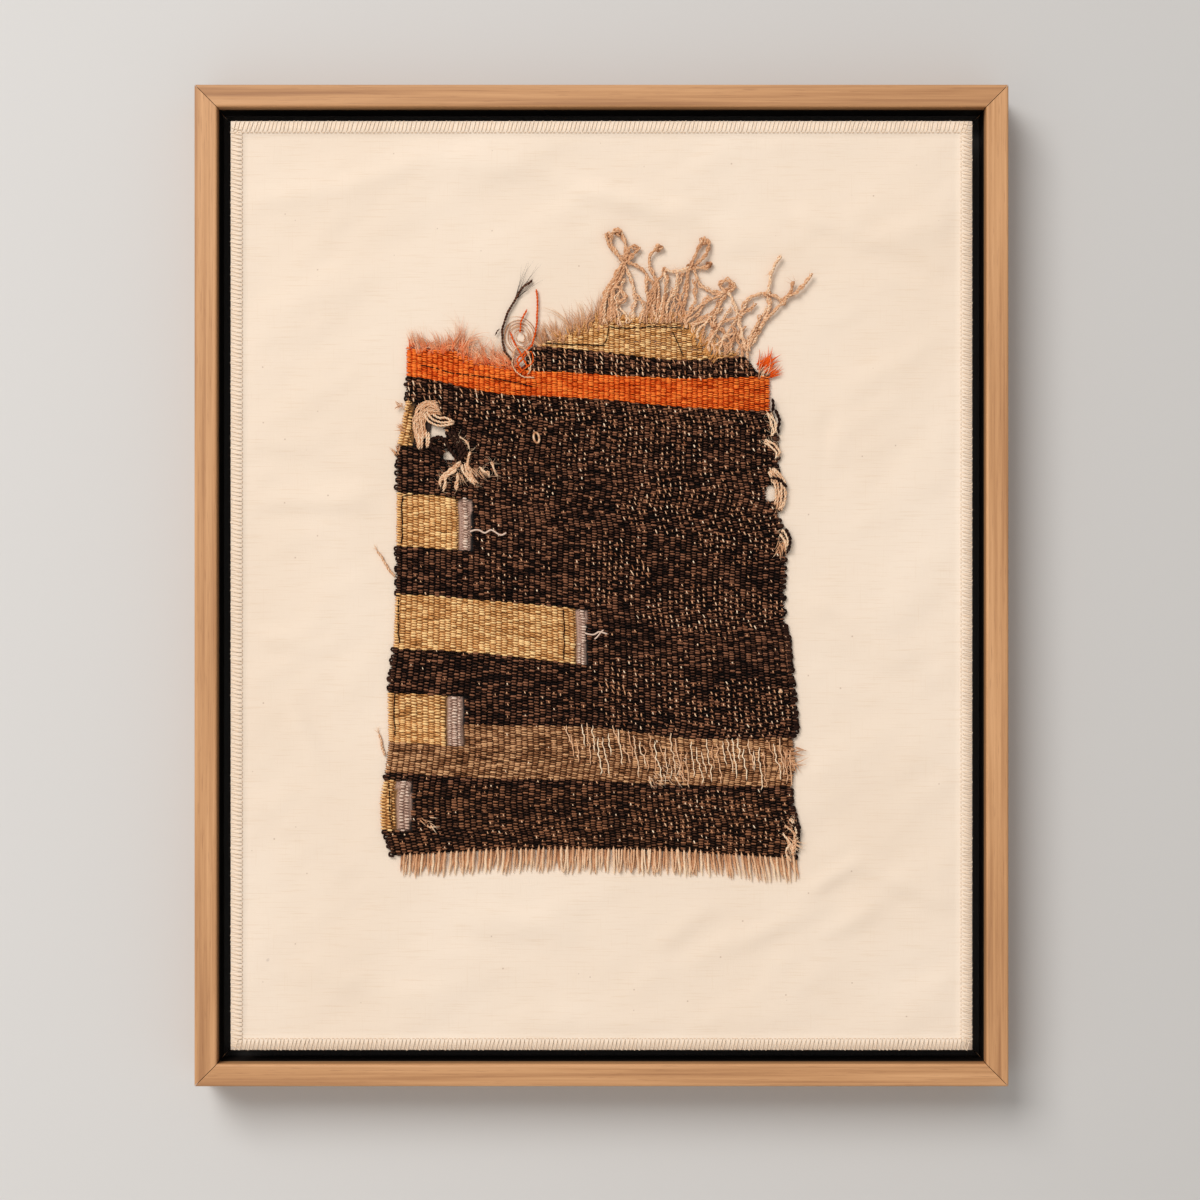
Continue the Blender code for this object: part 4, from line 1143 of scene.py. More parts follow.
def bottom_fringe():
    strands = []
    for warp in range(2, WARPS):
        xs, zs = cloth_place(0, 0.0, np.array([(warp + 0.5) / WARPS]))
        x, z = float(xs[0]) + draw.uniform(-0.3, 0.3), float(zs[0]) - 0.3
        lean = float(read(FRINGE_LEAN, x)) + 1.3 * noise.noise(Vector((x / 9, 1, 2)))
        length = draw.uniform(11.6, 13.8) + 1.0 * clamp(x / 100)
        strands.append(fringe_strand(x, z, draw.uniform(1.0, 3.4), lean + draw.uniform(-0.9, 0.9), length,
                                     draw.uniform(0.72, 0.92), draw.uniform(0.55, 0.85), True))
        side = draw.choice((-1, 1))
        strands.append(fringe_strand(x + side * draw.uniform(0.8, 1.5), z, 0.6,
                                     lean + side * draw.uniform(-0.6, 1.6),
                                     length - draw.uniform(0, 2.5), draw.uniform(0.6, 0.8),
                                     draw.uniform(0.3, 0.6), False))
        if draw.random() < 0.5:
            strands.append(fringe_strand(x - side * draw.uniform(0.9, 1.4), z, 0.6,
                                         lean - side * draw.uniform(-0.4, 1.4),
                                         length - draw.uniform(0, 4), draw.uniform(0.4, 0.6),
                                         draw.uniform(0.4, 0.8), False))
        strands.append(hair((x, CANVAS_TOP - 1.2, z), -90 + draw.uniform(-18, 18), length * 0.95,
                            draw.uniform(-30, 30), 0.13, (0.5, 0.8)))
    for x in FRINGE_LOOPS:
        z = float(cloth_place(0, 0.0, np.array([0.6]))[1][0])
        wide = draw.uniform(2.4, 3.6)
        places = [
            (x, CLOTH_TOP - 0.1, z + 1), (x + 0.3, CANVAS_TOP - 2.1, z - 6),
            (x + wide * 0.5, CANVAS_TOP - 1.6, z - 12),
            (x + wide * 0.9, CANVAS_TOP - 2.1, z - 6), (x + wide, CLOTH_TOP - 0.1, z + 1),
        ]
        route = soft_route(places, 1.5)
        strands.append(Yarn(route, pointed(len(route), 0.55, 1, 1), [draw.uniform(0.55, 0.8)] * len(route)))
    return strands


fringe_low = lay_yarn("fringe_low", bottom_fringe(), WOOL["warp"])
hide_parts("bottom_fringe")

# %% [markdown]
# ## The hair above the flap
# The orange wool at the upper left has lost its wefts. Its warps have opened into hair, still orange at
# the root and bleached towards the tips. On the left it stands up; near the yarn tails it is combed
# across, from the lower right to the upper left.

# %% Flap hair
HAIR_HEADING = [(-104, 96), (-90, 88), (-78, 74), (-70, 96), (-60, 128), (-48, 140)]
HAIR_LENGTH = [(-104, 9), (-97, 12), (-88, 12), (-80, 22), (-74, 20), (-68, 12), (-60, 17), (-50, 16)]


def flap_hair():
    hairs = []
    for index in range(74):
        x = -103.5 + 58.5 * (index + draw.random()) / 74
        z = float(read(TORN_EDGE, x)) + draw.uniform(-3.5, 1.0)
        heading = float(read(HAIR_HEADING, x)) + draw.gauss(0, 14)
        length = float(read(HAIR_LENGTH, x)) * draw.uniform(0.55, 1.15)
        tones = (draw.uniform(0.0, 0.28), draw.uniform(0.62, 1.0))
        root = (x, draw.uniform(-14.8, -13.7), z)
        hairs += lock(root, heading, length, draw.gauss(0, 60), draw.uniform(0.18, 0.30), tones,
                      draw.randint(3, 6), 1.0)
        hairs.append(hair(root, heading + draw.gauss(0, 25), length * 1.25, draw.gauss(0, 60), 0.09,
                          (0.4, 0.9)))
        hairs.append(hair(root, heading, length * 0.5, draw.gauss(0, 40), 0.45, (draw.uniform(0, 0.15), 0.4)))
    return hairs


hair_flap = lay_yarn("hair_flap", flap_hair(), WOOL["fleece"])
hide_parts("flap_fringe")

# %% [markdown]
# ## Yarn tails beside the flap
# A black yarn curls up and frays into single hairs, two orange ones stand beside it, and a pale one makes
# a loop. Behind them lies a swirl of brown fleece.

# %% Yarn tails
Tail = namedtuple("Tail", "yarn radius places")
TAILS = [
    Tail("dark", 0.75,
         [(-48.5, 121), (-52.5, 128), (-53.5, 137), (-50.5, 147), (-46.5, 154), (-43, 160), (-37, 165)]),
    Tail("dark", 0.45, [(-57.5, 134.5), (-56.5, 137), (-54.5, 138.5)]),
    Tail("orange", 0.62,
         [(-42.5, 115), (-45.5, 121), (-42, 125), (-37, 131), (-35, 141), (-34.5, 151), (-35, 160)]),
    Tail("orange", 0.6, [(-40, 118), (-43.5, 125), (-47, 131), (-49.5, 137)]),
    Tail("orange", 0.55, [(-44, 136), (-43, 143), (-40, 149)]),
    Tail("warp", 0.5, [(-36, 112), (-43, 113), (-48, 119), (-46, 128), (-41, 127), (-38, 120), (-40, 113)]),
    Tail("orange", 0.5, [(-46, 113), (-41, 117), (-37, 121), (-38, 126), (-43, 122), (-46, 117)]),
]


def tails_of(yarn):
    laid = []
    for index, tail in enumerate(TAILS):
        if tail.yarn == yarn:
            ground = [(x, CANVAS_TOP - 1.1 - (1.2 if z < 124 else 0.4), z) for x, z in tail.places]
            laid += two_ply(wander(soft_route(ground, 0.7), 0.5, index, 6), tail.radius, 3.4, 0.5)
    return laid


def swirl():
    """Fleece that lies in ovals round one place."""
    hairs = []
    for _ in range(44):
        size = draw.uniform(0.2, 1.0)
        start = draw.uniform(0, 360)
        angle = math.radians(start)
        root = (-43.5 + 8.5 * size * math.cos(angle), CANVAS_TOP - draw.uniform(0.3, 1.2),
                134 + 12 * size * math.sin(angle))
        hairs.append(hair(root, start + 95, 22 * size, 110, 0.2,
                          (draw.uniform(0.1, 0.4), draw.uniform(0.3, 0.8))))
    return hairs


black_hairs = [
    hair((-46.5 + draw.uniform(-0.5, 0.5), CANVAS_TOP - 1.3, 154), draw.uniform(38, 78), draw.uniform(9, 26),
         draw.uniform(-35, 25), 0.09, (0.1, 0.35))
    for _ in range(16)
]
tails_dark = lay_yarn("tails_dark", [*tails_of("dark"), *black_hairs], WOOL["dark"])
tails_orange = lay_yarn("tails_orange", tails_of("orange"), WOOL["orange"])
tails_pale = lay_yarn("tails_pale", [*tails_of("warp"), *swirl()], WOOL["warp"])
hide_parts("yarn_tails")
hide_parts("yarn_tails")
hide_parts("yarn_tails")

# %% [markdown]
# ## The tangle of bare warps
# Above the straw block the warps are long, bare and knotted. Each is a bundle: one spun yarn, two strands
# that have come loose from it, and stray hairs. The routes repeat the solid's. Knots sit where several
# meet, and each is a yarn drawn through itself, which a trefoil curve shows well.

# %% Tangle
Strand = namedtuple("Strand", "lift rise places")
TANGLE = [
    Strand(0.1, 0.9, [(-1, 146), (2, 158), (7, 166), (12, 175)]),
    Strand(0.5, 0.6, [(3, 146), (6, 157), (10, 165), (13, 174)]),
    Strand(0.7, 1.0, [(12, 175), (5, 182), (2, 190)]),
    Strand(0.4, 0.8, [(12, 175), (13, 184), (9, 192), (5, 186), (9, 178), (12, 174)]),
    Strand(0.6, 0.2, [(13, 175), (15, 182), (20, 182), (17, 178), (14, 174)]),
    Strand(0.9, -0.7, [(13, 175), (21, 171), (26, 165), (29, 156), (26, 146)]),
    Strand(0.8, -0.5, [(12, 174), (16, 165), (18, 155), (16, 146)]),
    Strand(0.9, 0.6, [(5, 146), (6, 159), (10, 160), (13, 155), (8, 152)]),
    Strand(1.2, -1.0, [(31, 183), (26, 177), (27, 169), (31, 161), (29, 146)]),
    Strand(0.6, -0.2, [(34, 170), (35, 161), (33, 153), (31, 146)]),
    Strand(0.9, 0.1, [(34, 170), (40, 169), (48, 172)]),
    Strand(0.9, -0.4, [(41, 169), (40, 160), (36, 153), (35, 146)]),
    Strand(0.6, 0.9, [(48, 172), (52, 181), (55, 187), (58, 184), (56, 178), (50, 172)]),
    Strand(0.9, -0.8, [(47, 172), (46, 160), (43, 146)]),
    Strand(0.6, 0.4, [(49, 172), (55, 171), (58, 173)]),
    Strand(0.3, 0.5, [(49, 172), (53, 163), (60, 158), (68, 159)]),
    Strand(0.8, 0.0, [(43, 146), (53, 151), (61, 155), (68, 159)]),
    Strand(0.9, 0.2, [(67, 158), (64, 162), (68, 165), (72, 161), (68, 158)]),
    Strand(0.5, -0.3, [(68, 159), (62, 148), (60, 140), (57, 129)]),
    Strand(0.9, -0.6, [(68, 159), (72, 151), (74, 142), (78, 126)]),
    Strand(0.4, 0.6, [(74, 145), (79, 154), (84, 157), (90, 157), (98, 153)]),
    Strand(0.8, 0.9, [(90, 157), (91, 166), (96, 178)]),
    Strand(0.6, 0.9, [(98, 153), (102, 159), (104, 164)]),
    Strand(0.6, 1.2, [(84, 138), (88, 146), (98, 153), (107, 160), (114, 168)]),
    Strand(0.2, 0.5, [(74, 128), (82, 131), (85, 138), (90, 148), (90, 157)]),
    Strand(0.5, 0.3, [(48, 140), (56, 145), (61, 140), (65, 142), (74, 145), (84, 152)]),
    Strand(0.7, -0.2, [(60, 128), (66, 133), (72, 136), (77, 132), (77, 126)]),
    Strand(0.3, 0.4, [(71, 128), (68, 134), (64, 138), (60, 136)]),
]
KNOTS = [
    (12.5, 174.5), (34, 170), (48, 172), (68, 159), (90, 157), (98, 153), (74, 145), (61, 139), (84, 138),
    (4, 188.5), (9, 190), (31, 182), (55, 185), (58, 173), (70, 162),
]


def knot(x, z, size, thick, tone, seed):
    """A yarn drawn through itself, turned by the seed."""
    places = []
    for tick in range(26):
        angle = math.tau * tick / 26
        across = (math.sin(angle) + 2 * math.sin(2 * angle)) / 3
        upward = (math.cos(angle) - 2 * math.cos(2 * angle)) / 3
        turn = seed * 1.3
        places.append((
            x + size * (across * math.cos(turn) - upward * math.sin(turn)),
            CANVAS_TOP - 1.9 - 0.7 * math.sin(3 * angle),
            z + size * (across * math.sin(turn) + upward * math.cos(turn)),
        ))
    tones = [clamp(tone + 0.2 * math.sin(tick * 0.9 + seed)) for tick in range(26)]
    return Yarn(places, [thick] * 26, tones, True)


def bundle(lay, tone, seed, thick=0.82, loose=3):
    """A spun yarn along a route, with loose strands and stray hairs about it."""
    laid = two_ply(wander(soft_route(lay, 0.7), 1.0, seed, 6), thick, 3.4, tone)
    for number in range(loose):
        route = wander(soft_route(lay, 1.1), 2.6, seed * 3 + number + 40, 4)
        tones = [clamp(tone + 0.1 + 0.3 * noise.noise(Vector((step / 3, number,
                                                              seed)))) for step in range(len(route))]
        laid.append(Yarn(route, pointed(len(route), draw.uniform(0.30, 0.5), 1, 2), tones))
    for _ in range(14):
        laid.append(hair(draw.choice(route), draw.uniform(0, 360), draw.uniform(2, 6),
                         draw.uniform(-120, 120), 0.07,
                         (tone, tone + 0.3), 6))
    return laid


# Roots on the straw block and the knots that their warps run to, as (x, z)
MORE_WARPS = [
    ((0, 142), (6, 163)), ((2, 143), (12, 174)), ((8, 143), (11, 172)), ((10, 142), (13, 166)),
    ((21, 143), (18, 158)),
    ((23, 143), (30, 165)), ((25, 143), (34, 170)), ((28, 143), (27, 160)), ((30, 143), (24, 167)),
    ((33, 143), (36, 168)),
    ((37, 143), (44, 170)), ((40, 143), (48, 172)), ((42, 143), (38, 160)), ((45, 142), (50, 165)),
    ((46, 140), (58, 157)),
    ((52, 135), (60, 146)), ((55, 132), (68, 158)), ((58, 128), (70, 150)), ((61, 126), (62, 143)),
    ((64, 126), (74, 145)),
    ((66, 126), (70, 141)), ((70, 127), (78, 140)), ((74, 126), (84, 139)), ((76, 125), (74, 138)),
    ((68, 127), (60, 138)),
    ((80, 128), (86, 146)), ((79, 124), (90, 150)), ((50, 138), (66, 150)), ((14, 143), (10, 158)),
    ((35, 143), (30, 156)),
]


def tangle():
    laid = []
    for index, strand in enumerate(TANGLE):
        count = len(strand.places) - 1
        lay = [
            (x, CANVAS_TOP - 1.2 - strand.lift - strand.rise * place / count, z - (4 if z == 146 else 0))
            for place, (x, z) in enumerate(strand.places)
        ]
        laid += bundle(lay, draw.uniform(0.3, 0.6), index)
    for index, ((x, z), (to_x, to_z)) in enumerate(MORE_WARPS):
        sway = draw.uniform(-3.5, 3.5)
        lay = [
            (x, CLOTH_TOP + 0.3, z - 2), (x + 0.2 * sway, CLOTH_TOP, z + 2),
            ((x + to_x) / 2 + sway, CANVAS_TOP - draw.uniform(1.0, 2.4), (z + to_z) / 2),
            (to_x, CANVAS_TOP - draw.uniform(1.2, 2.4), to_z),
        ]
        laid += bundle(lay, draw.uniform(0.25, 0.65), index + 60, draw.uniform(0.55, 0.85), 2)
    for index, (x, z) in enumerate(KNOTS):
        laid.append(knot(x, z, draw.uniform(1.3, 2.0), draw.uniform(0.5, 0.7), draw.uniform(0.2, 0.5), index))
    return laid


def fan():
    """The combed fleece between the tails and the tangle."""
    hairs = []
    for index in range(50):
        x = -33 + 37 * (index + draw.random()) / 50
        z = float(read([(-33, 129), (-20, 131), (-6, 137), (4, 142)], x)) + draw.uniform(-2, 3)
        heading = float(read([(-33, 128), (-22, 100), (-12, 78), (4, 66)], x)) + draw.gauss(0, 13)
        length = float(read([(-33, 10), (-24, 18), (-14, 22), (-4, 20), (4, 18)],
                            x)) * draw.uniform(0.5, 1.15)
        root = (x, draw.uniform(-14.8, -13.4), z)
        tones = (draw.uniform(0.1, 0.4), draw.uniform(0.4, 0.85))
        hairs += lock(root, heading, length, draw.gauss(0, 40), draw.uniform(0.16, 0.3), tones,
                      draw.randint(3, 6), 0.9)
    return hairs


tangle_of_warps = lay_yarn("tangle_of_warps", [*tangle(), *fan()], WOOL["warp"])
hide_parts("warp_tangle")

# %% [markdown]
# ## The tuft at the right selvedge
# The orange band ends in a frayed tuft with a few pale and black strands among the orange ones.

# %% Orange tuft
orange_ends = [
    *tuft(86, 116, 26, 52, 24, 12, 0.42, (0.35, 0.75), 3.0, CLOTH_TOP + 0.3),
    *tuft(90, 113, 18, 40, 30, 8, 0.36, (0.3, 0.8), 1.6, CLOTH_TOP + 0.4),
]
pale_ends = tuft(86, 113, 14, 66, 22, 12, 0.22, (0.4, 0.9), 2.5, CLOTH_TOP + 0.1)
tuft_orange = lay_yarn("tuft_orange", orange_ends, WOOL["orange"])
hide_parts("orange_tuft")

# %% [markdown]
# ## The whorl at the left
# Here a hole has let the warps loose. They stand side by side, bow over to the right and curl in like a
# shell; two end in a beak. A black yarn makes a loop across the hole, and short tan bundles hang below it.

# %% Whorl
WHORL_OUTER = [(-98.5, 73), (-101.3, 86), (-99.6, 95), (-94.5, 99.2), (-88.0, 98.6)]
WHORL_INNER = [(-94.5, 81), (-95.0, 88), (-92.5, 92), (-89.5, 92.5), (-85.6, 91.6)]
BEAK = [
    [(-95.5, 92.5), (-93.0, 88.5), (-87.0, 86.0), (-79.1, 87.3)],
    [(-94, 93.5), (-91.5, 90), (-86.5, 87.8), (-80, 88.2)],
    [(-91, 92.5), (-87.5, 90.3), (-83, 90.2), (-79.3, 87.5)],
]
BARE_ENDS = [
    [(-98.2, 82), (-98.3, 77), (-98, 72.8)], [(-96.8, 82), (-96.6, 77), (-97, 73.5)],
    [(-94.2, 83), (-94.0, 78), (-94.2, 73.8)],
    [(-93.2, 83), (-92.8, 78), (-93.4, 74)],
]
BLACK_LOOP = [(-92.1, 73.5), (-91.3, 78.3), (-87.2, 79.9), (-83.4, 77), (-81.3, 72.7), (-78, 68.9),
              (-74.8, 66.2)]
BLACK_MASS = [
    [(-84, 83), (-80, 79), (-76, 72), (-75, 67)], [(-81, 83), (-77, 79), (-74, 73), (-74, 69)],
    [(-92, 74), (-88, 73), (-85, 70)],
]
TAN_LOOPS = [
    [(-75.3, 66.7), (-79.1, 64), (-83.4, 60.8), (-86.7, 57), (-86.7, 53.0)],
    [(-76, 65.5), (-80, 62.6), (-84, 59.4), (-87.4, 55)],
    [(-78.6, 62.4), (-82.4, 59.2), (-84.5, 54.9), (-85, 50.5)], [(-77, 60.5), (-77.8, 54.9), (-78, 51)],
    [(-75.3, 65.1), (-74.3, 60.8), (-71, 57), (-67.8, 53.8)],
    [(-70.5, 72.1), (-72.1, 66.2), (-70.5, 60.8), (-68.3, 55.9)],
    [(-73.5, 66), (-72.5, 61), (-69.5, 57.5), (-66, 55)],
]
LIFTED = [[(-60, 66.5), (-57.5, 62), (-55.9, 58.6)], [(-66, 64), (-62.5, 61), (-60, 58)],
          [(-77, 81), (-72.5, 77), (-71, 73)]]


def whorl():
    laid = []
    for index in range(12):
        share = index / 11
        places = [
            (a + (c - a) * share, CLOTH_TOP - 0.1 - 0.5 * math.sin(math.pi * share), b + (d - b) * share)
            for (a, b), (c, d) in zip(WHORL_OUTER, WHORL_INNER)
        ]
        laid += two_ply(wander(soft_route(places, 0.7), 0.9, index + 90, 5), 0.50, 3.0,
                        draw.uniform(0.3, 0.6))
    for index, places in enumerate([*BEAK, *BARE_ENDS]):
        lay = [(x, CLOTH_TOP - 0.5, z) for x, z in places]
        laid += two_ply(wander(soft_route(lay, 0.7), 0.4, index + 50, 5), 0.75, 3.4, 0.62)
    for index, places in enumerate(TAN_LOOPS):
        lay = [(x, CLOTH_TOP - 0.5, z) for x, z in places]
        laid += bundle(lay, draw.uniform(0.35, 0.6), index + 70, 0.8, 2)
    for index, places in enumerate(LIFTED):
        laid += bundle([(x, CLOTH_TOP - 0.3, z) for x, z in places], 0.6, index + 80, 0.5, 1)
    for x, z, angle in [(-84, 84, -50), (-82, 82, -55), (-79, 80, -60), (-76, 60, -80), (-70, 63, -50),
                        (-65, 62, -60)]:
        laid += lock((x, CLOTH_TOP - 0.2, z), angle, 8, 20, 0.2, (0.4, 0.7), 6, 1.2)
    return laid


def black_loop():
    laid = two_ply(soft_route([(x, CLOTH_TOP - 0.5, z) for x, z in BLACK_LOOP], 0.7), 1.2, 4.0, 0.2)
    for index, places in enumerate(BLACK_MASS):
        laid += two_ply(soft_route([(x, CLOTH_TOP - 0.1, z) for x, z in places], 0.7), 1.5, 4.5, 0.22)
    return laid


whorl_pale = lay_yarn("whorl_pale", whorl(), WOOL["warp"])
whorl_black = lay_yarn("whorl_black", black_loop(), WOOL["dark"])
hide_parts("bare_warps")
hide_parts("bare_warps")

# %% [markdown]
# ## The two loose ends at the left selvedge
# Two short spun ends stand off the selvedge and lie on the canvas.

# %% Side threads
Side = namedtuple("Side", "name node places")
SIDES_LOOSE = [
    Side("side_end_upper", "side_thread_upper", [(-111.5, 4.5), (-116, 11), (-121, 19)]),
    Side("side_end_lower", "side_thread_lower", [(-117.0, -92), (-118.4, -86), (-120, -79.5)]),
]
for index, side in enumerate(SIDES_LOOSE):
    lay = [(x, CANVAS_TOP - 0.8, z) for x, z in side.places]
    laid = two_ply(wander(soft_route(lay, 0.7), 0.5, index, 5), 0.75, 3.0, 0.5)
    laid += [hair(lay[-1], 120 + draw.uniform(-40, 40), 4, draw.uniform(-60, 60), 0.1,
                  (0.5, 0.8)) for _ in range(6)]
    end = lay_yarn(side.name, laid, WOOL["warp"])
    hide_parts(side.node)

# %% [markdown]
# ## Small things on the weave
# The tan band has lost wefts, so long wavy warps run over its right half. A few stitches of black thread
# cross the pale blocks, two pink threads lie on the dark field, and wisps stand out of the selvedges.

# %% Small things
Stitch = namedtuple("Stitch", "radius places")
BLACK_STITCHES = [
    Stitch(0.32, [(3.5, 139.3), (14, 138.6), (28, 139.4), (40, 139.0), (47.5, 138.2)]),
    Stitch(0.32, [(-30.5, 130.6), (-20, 129.9), (-8, 129.6), (2, 129.2)]),
    Stitch(0.26, [(4, 139), (3, 134), (1, 129.5)]), Stitch(0.28, [(38, 137), (41, 131), (44, 123.5)]),
    Stitch(0.32, [(-107.0, 48.5), (-107.6, 40), (-107.2, 31), (-107.8, 22.5)]),
    Stitch(0.26, [(-107, 48.3), (-98, 49.3), (-86, 48.6), (-76, 46.5)]),
    Stitch(0.30, [(-109.2, -6.5), (-109.6, -18), (-109.0, -31)]),
    Stitch(0.30, [(-111.3, -57), (-111.8, -70), (-111.0, -81)]),
    Stitch(0.26, [(-20.5, -13), (-20, -26), (-20.4, -40)]),
    Stitch(0.3, [(-114.5, -106), (-114.2, -118), (-113.4, -129)]),
    Stitch(0.30, [(-98, 118.6), (-91, 117.6), (-82, 114.8), (-66, 112.8), (-52, 110.5), (-37, 107.2)]),
]
PINK_THREADS = [
    Stitch(0.5, [(-71, 29), (-66.7, 30), (-62.9, 28.4), (-59, 30), (-54.8, 27.3), (-51, 28.4)]),
    Stitch(0.45, [(-9, -25.5), (-5, -26.5), (-1.5, -25), (3.5, -26.2)]),
    Stitch(0.4, [(-4, -29.0), (-1, -26), (1.5, -24)]),
]


def stitch_line(stitch, seed, tone, plain=False):
    """Running stitches: the thread dips into the cloth every few millimetres."""
    route = wander(soft_route([(x, CLOTH_TOP - 0.05, z) for x, z in stitch.places], 0.8), 0.5, seed, 5)
    dips = [0.0 if plain else 0.5 * max(0.0, math.sin(index * 1.3)) for index in range(len(route))]
    route = [(x, y + dip, z) for (x, y, z), dip in zip(route, dips)]
    return Yarn(route, pointed(len(route), stitch.radius, 1, 1), [tone] * len(route))


def long_warps():
    """The wavy warps on the tan band."""
    laid = []
    for index in range(44):
        share = 0.44 + 0.55 * index / 43
        (x,), (top,) = cloth_place(1, 1.0, np.array([share]))
        (_,), (low,) = cloth_place(1, 0.0, np.array([share]))
        start = top - draw.uniform(-2.5, 7)
        length = draw.uniform(10, 24)
        sway = draw.uniform(0.8, 3.6)
        places = [(x, CLOTH_TOP + 0.2, start), (x + sway * 0.2, CLOTH_TOP - 0.15, start - length * 0.35),
                  (x + sway * 0.9, CLOTH_TOP - 0.15, start - length * 0.7),
                  (x + sway, CLOTH_TOP + 0.2, max(start - length, low - 2))]
        route = wander(soft_route(places, 0.9), 1.1, index + 200, 3)
        tone = draw.uniform(0.45, 1.0)
        radii = [r * (0.8 + 0.2 * math.sin(step * 1.9)) for step,
                 r in enumerate(pointed(len(route), 0.46, 2, 3))]
        laid.append(Yarn(route, radii, [tone] * len(route)))
    return laid


# Bare warps where the right selvedge has opened, and the dark loops that still cross them
SELVEDGE_WARPS = [
    [(90, 61.5), (93.2, 55), (94.0, 49), (93.4, 42.5)], [(91, 62.5), (94.6, 56), (95.4, 49), (94.5, 41.5)],
    [(92, 63), (96.2, 57), (97.0, 49), (95.8, 40.5)], [(93, 63.5), (98.0, 57), (98.9, 49), (97, 40)],
    [(89, 93), (91.5, 88), (92.5, 83), (91, 80)], [(91, 92.5), (93.5, 88), (94, 82)],
    [(87, 77), (91, 75), (94.3, 71.5), (93.5, 68)],
    [(88, 78.5), (92.5, 76.5), (95.3, 73), (95, 69)], [(97, 30), (100, 26), (100.6, 20)],
    [(96, 28), (98.6, 24), (99.4, 19)],
    [(99, -129), (103, -133), (104.3, -139), (103, -146)],
    [(98, -133), (101, -139), (99.5, -144), (102.5, -149)],
    [(101, -126), (104.6, -130), (105, -137)],
]
SELVEDGE_BLACK = [
    [(91, 58), (96, 57), (100, 52.5)], [(93.5, 95), (95.8, 89), (94.8, 84)],
    [(92, 101), (92.6, 97), (92, 93)],
    [(99, 31), (101.6, 25), (100.5, 18)], [(103, -128), (106.5, -132), (104.5, -136)],
]


def straw_locks():
    """Wefts that have slipped off the straw block's torn edge."""
    laid = []
    for index in range(44):
        x = -24 + 72 * (index + draw.random()) / 44
        z = float(read(TORN_EDGE, x)) - draw.uniform(0, 3)
        laid += lock((x, CLOTH_TOP + 0.2, z), draw.gauss(88, 26), draw.uniform(3, 6.5), draw.gauss(0, 50),
                     0.26,
                     (draw.uniform(0.2, 0.5), draw.uniform(0.5, 0.9)), 3, 0.8)
    for index in range(26):
        x = 45 + 17 * (index + draw.random()) / 26
        z = float(read(TORN_EDGE, x)) - draw.uniform(-1, 5)
        laid += lock((x, CLOTH_TOP + 0.2, z), draw.gauss(62, 22), draw.uniform(5, 11), draw.gauss(0, 50),
                     0.28,
                     (draw.uniform(0.2, 0.5), draw.uniform(0.5, 0.9)), 4, 1.0)
    return laid


def wool_fuzz():
    """Short hairs of the dark wool that lie over the field."""
    laid = []
    for spot in draw.sample([spot for spot in crossings if spot.yarn in ("dark", "brown")], 900):
        angle = draw.choice((0, 180)) + draw.gauss(0, 22)
        laid.append(hair((spot.x, spot.depth - 0.35, spot.z), angle, draw.uniform(1.5, 4.5),
                         draw.uniform(-70, 70),
                         draw.uniform(0.07, 0.14), (draw.uniform(0.3, 0.9), draw.uniform(0.3, 0.9)), 5))
    return laid


def edge_loops():
    """The wefts' turns stand out of both selvedges as small uneven loops."""
    laid = []
    for band in range(6):
        for step in range(16):
            rise = (step + draw.random()) / 16
            (left, right), (z_left, z_right) = cloth_place(band, rise, np.array([0.0, 1.0]))
            for x, z, out in ((left, z_left, -1), (right, z_right, 1)):
                if yarn_at(band, rise, x, z) not in ("dark", "brown"):
                    continue
                reach = out * draw.uniform(0.0, 1.1)
                tall = draw.uniform(0.5, 1.3)
                lay = [(x - out * 2.5, CLOTH_TOP + 0.4, z - tall),
                       (x + reach * 0.7, CLOTH_TOP + 0.8, z - tall * 0.7),
                       (x + reach, CLOTH_TOP + 1.0, z), (x + reach * 0.7, CLOTH_TOP + 0.8, z + tall * 0.7),
                       (x - out * 2.5, CLOTH_TOP + 0.4, z + tall)]
                route = soft_route(lay, 0.8)
                tone = draw.uniform(0.1, 0.5)
                laid.append(Yarn(route, pointed(len(route), 0.6, 1, 1), [tone] * len(route)))
    return laid


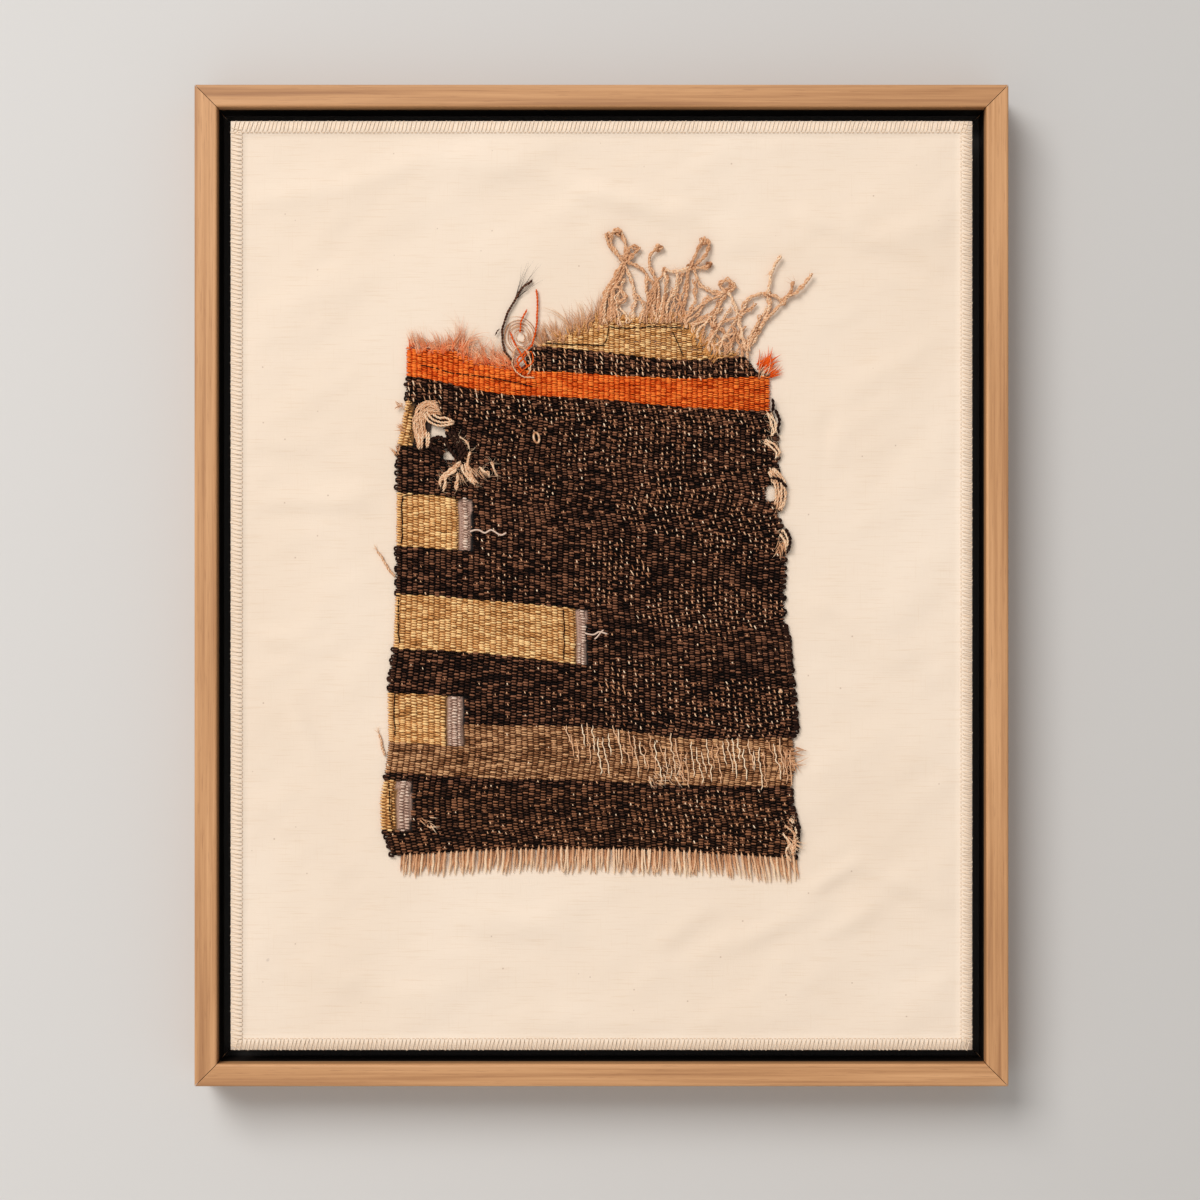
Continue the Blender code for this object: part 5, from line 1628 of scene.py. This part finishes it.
selvedge_bare = []
for index, places in enumerate(SELVEDGE_WARPS):
    selvedge_bare += bundle([(x, CLOTH_TOP + 0.1, z) for x, z in places], draw.uniform(0.4, 0.7),
                            index + 120, 0.7, 1)
selvedge_black = []
for index, places in enumerate(SELVEDGE_BLACK):
    selvedge_black += two_ply(soft_route([(x, CLOTH_TOP - 0.4, z) for x, z in places], 0.7), 0.95, 4.0, 0.15)
wisps = [
    *pale_ends, *long_warps(), *selvedge_bare,
    *tuft(38, -98, 26, -60, 40, 7, 0.25, (0.6, 0.9), 6.0, bend=70),
    *tuft(28, -103, 14, -40, 40, 6, 0.22, (0.6, 0.9), 3.0),
    *tuft(97, 22, 16, -80, 50, 7, 0.32, (0.3, 0.6), 2.5),
    *tuft(102, -138, 20, -70, 50, 8, 0.34, (0.5, 0.8), 3.0),
    *tuft(-108, 97, 10, 170, 40, 4, 0.25, (0.3, 0.6), 1.5),
    *tuft(-107, 84, 12, 150, 40, 5, 0.28, (0.3, 0.5), 1.5),
    *tuft(-110, 71, 12, 100, 40, 6, 0.28, (0.3, 0.5), 1.5),
    *tuft(100, -92, 30, -30, 80, 8, 0.34, (0.2, 0.6), 5.0),
    *tuft(-95, -127, 10, -30, 30, 6, 0.3, (0.4, 0.8), 3.0),
    *[Yarn(places, [0.62] * 16, [0.45 + 0.3 * math.sin(t) for t in range(16)], True) for places in [[
        (-35 + 1.5 * math.cos(t * math.tau / 16) - 0.4 * math.sin(t * math.tau / 16), CLOTH_TOP - 0.3,
         79.6 + 2.8 * math.sin(t * math.tau / 16)) for t in range(16)]]],
    knot(96.5, -57, 0.9, 0.5, 0.7, 1),
]
small_pale = lay_yarn("small_pale", wisps, WOOL["warp"])
small_straw = lay_yarn("small_straw", straw_locks(), WOOL["straw"])
stitching = [stitch_line(stitch, index, 0.1) for index, stitch in enumerate(BLACK_STITCHES)]
small_black = lay_yarn("small_black", [*stitching, *selvedge_black, *edge_loops()], WOOL["dark"])
small_fuzz = lay_yarn("small_fuzz", wool_fuzz(), WOOL["brown"])
pink = [stitch_line(stitch, index + 30, 0.75, True) for index, stitch in enumerate(PINK_THREADS)]
small_pink = lay_yarn("small_pink", pink, WOOL["lilac"])
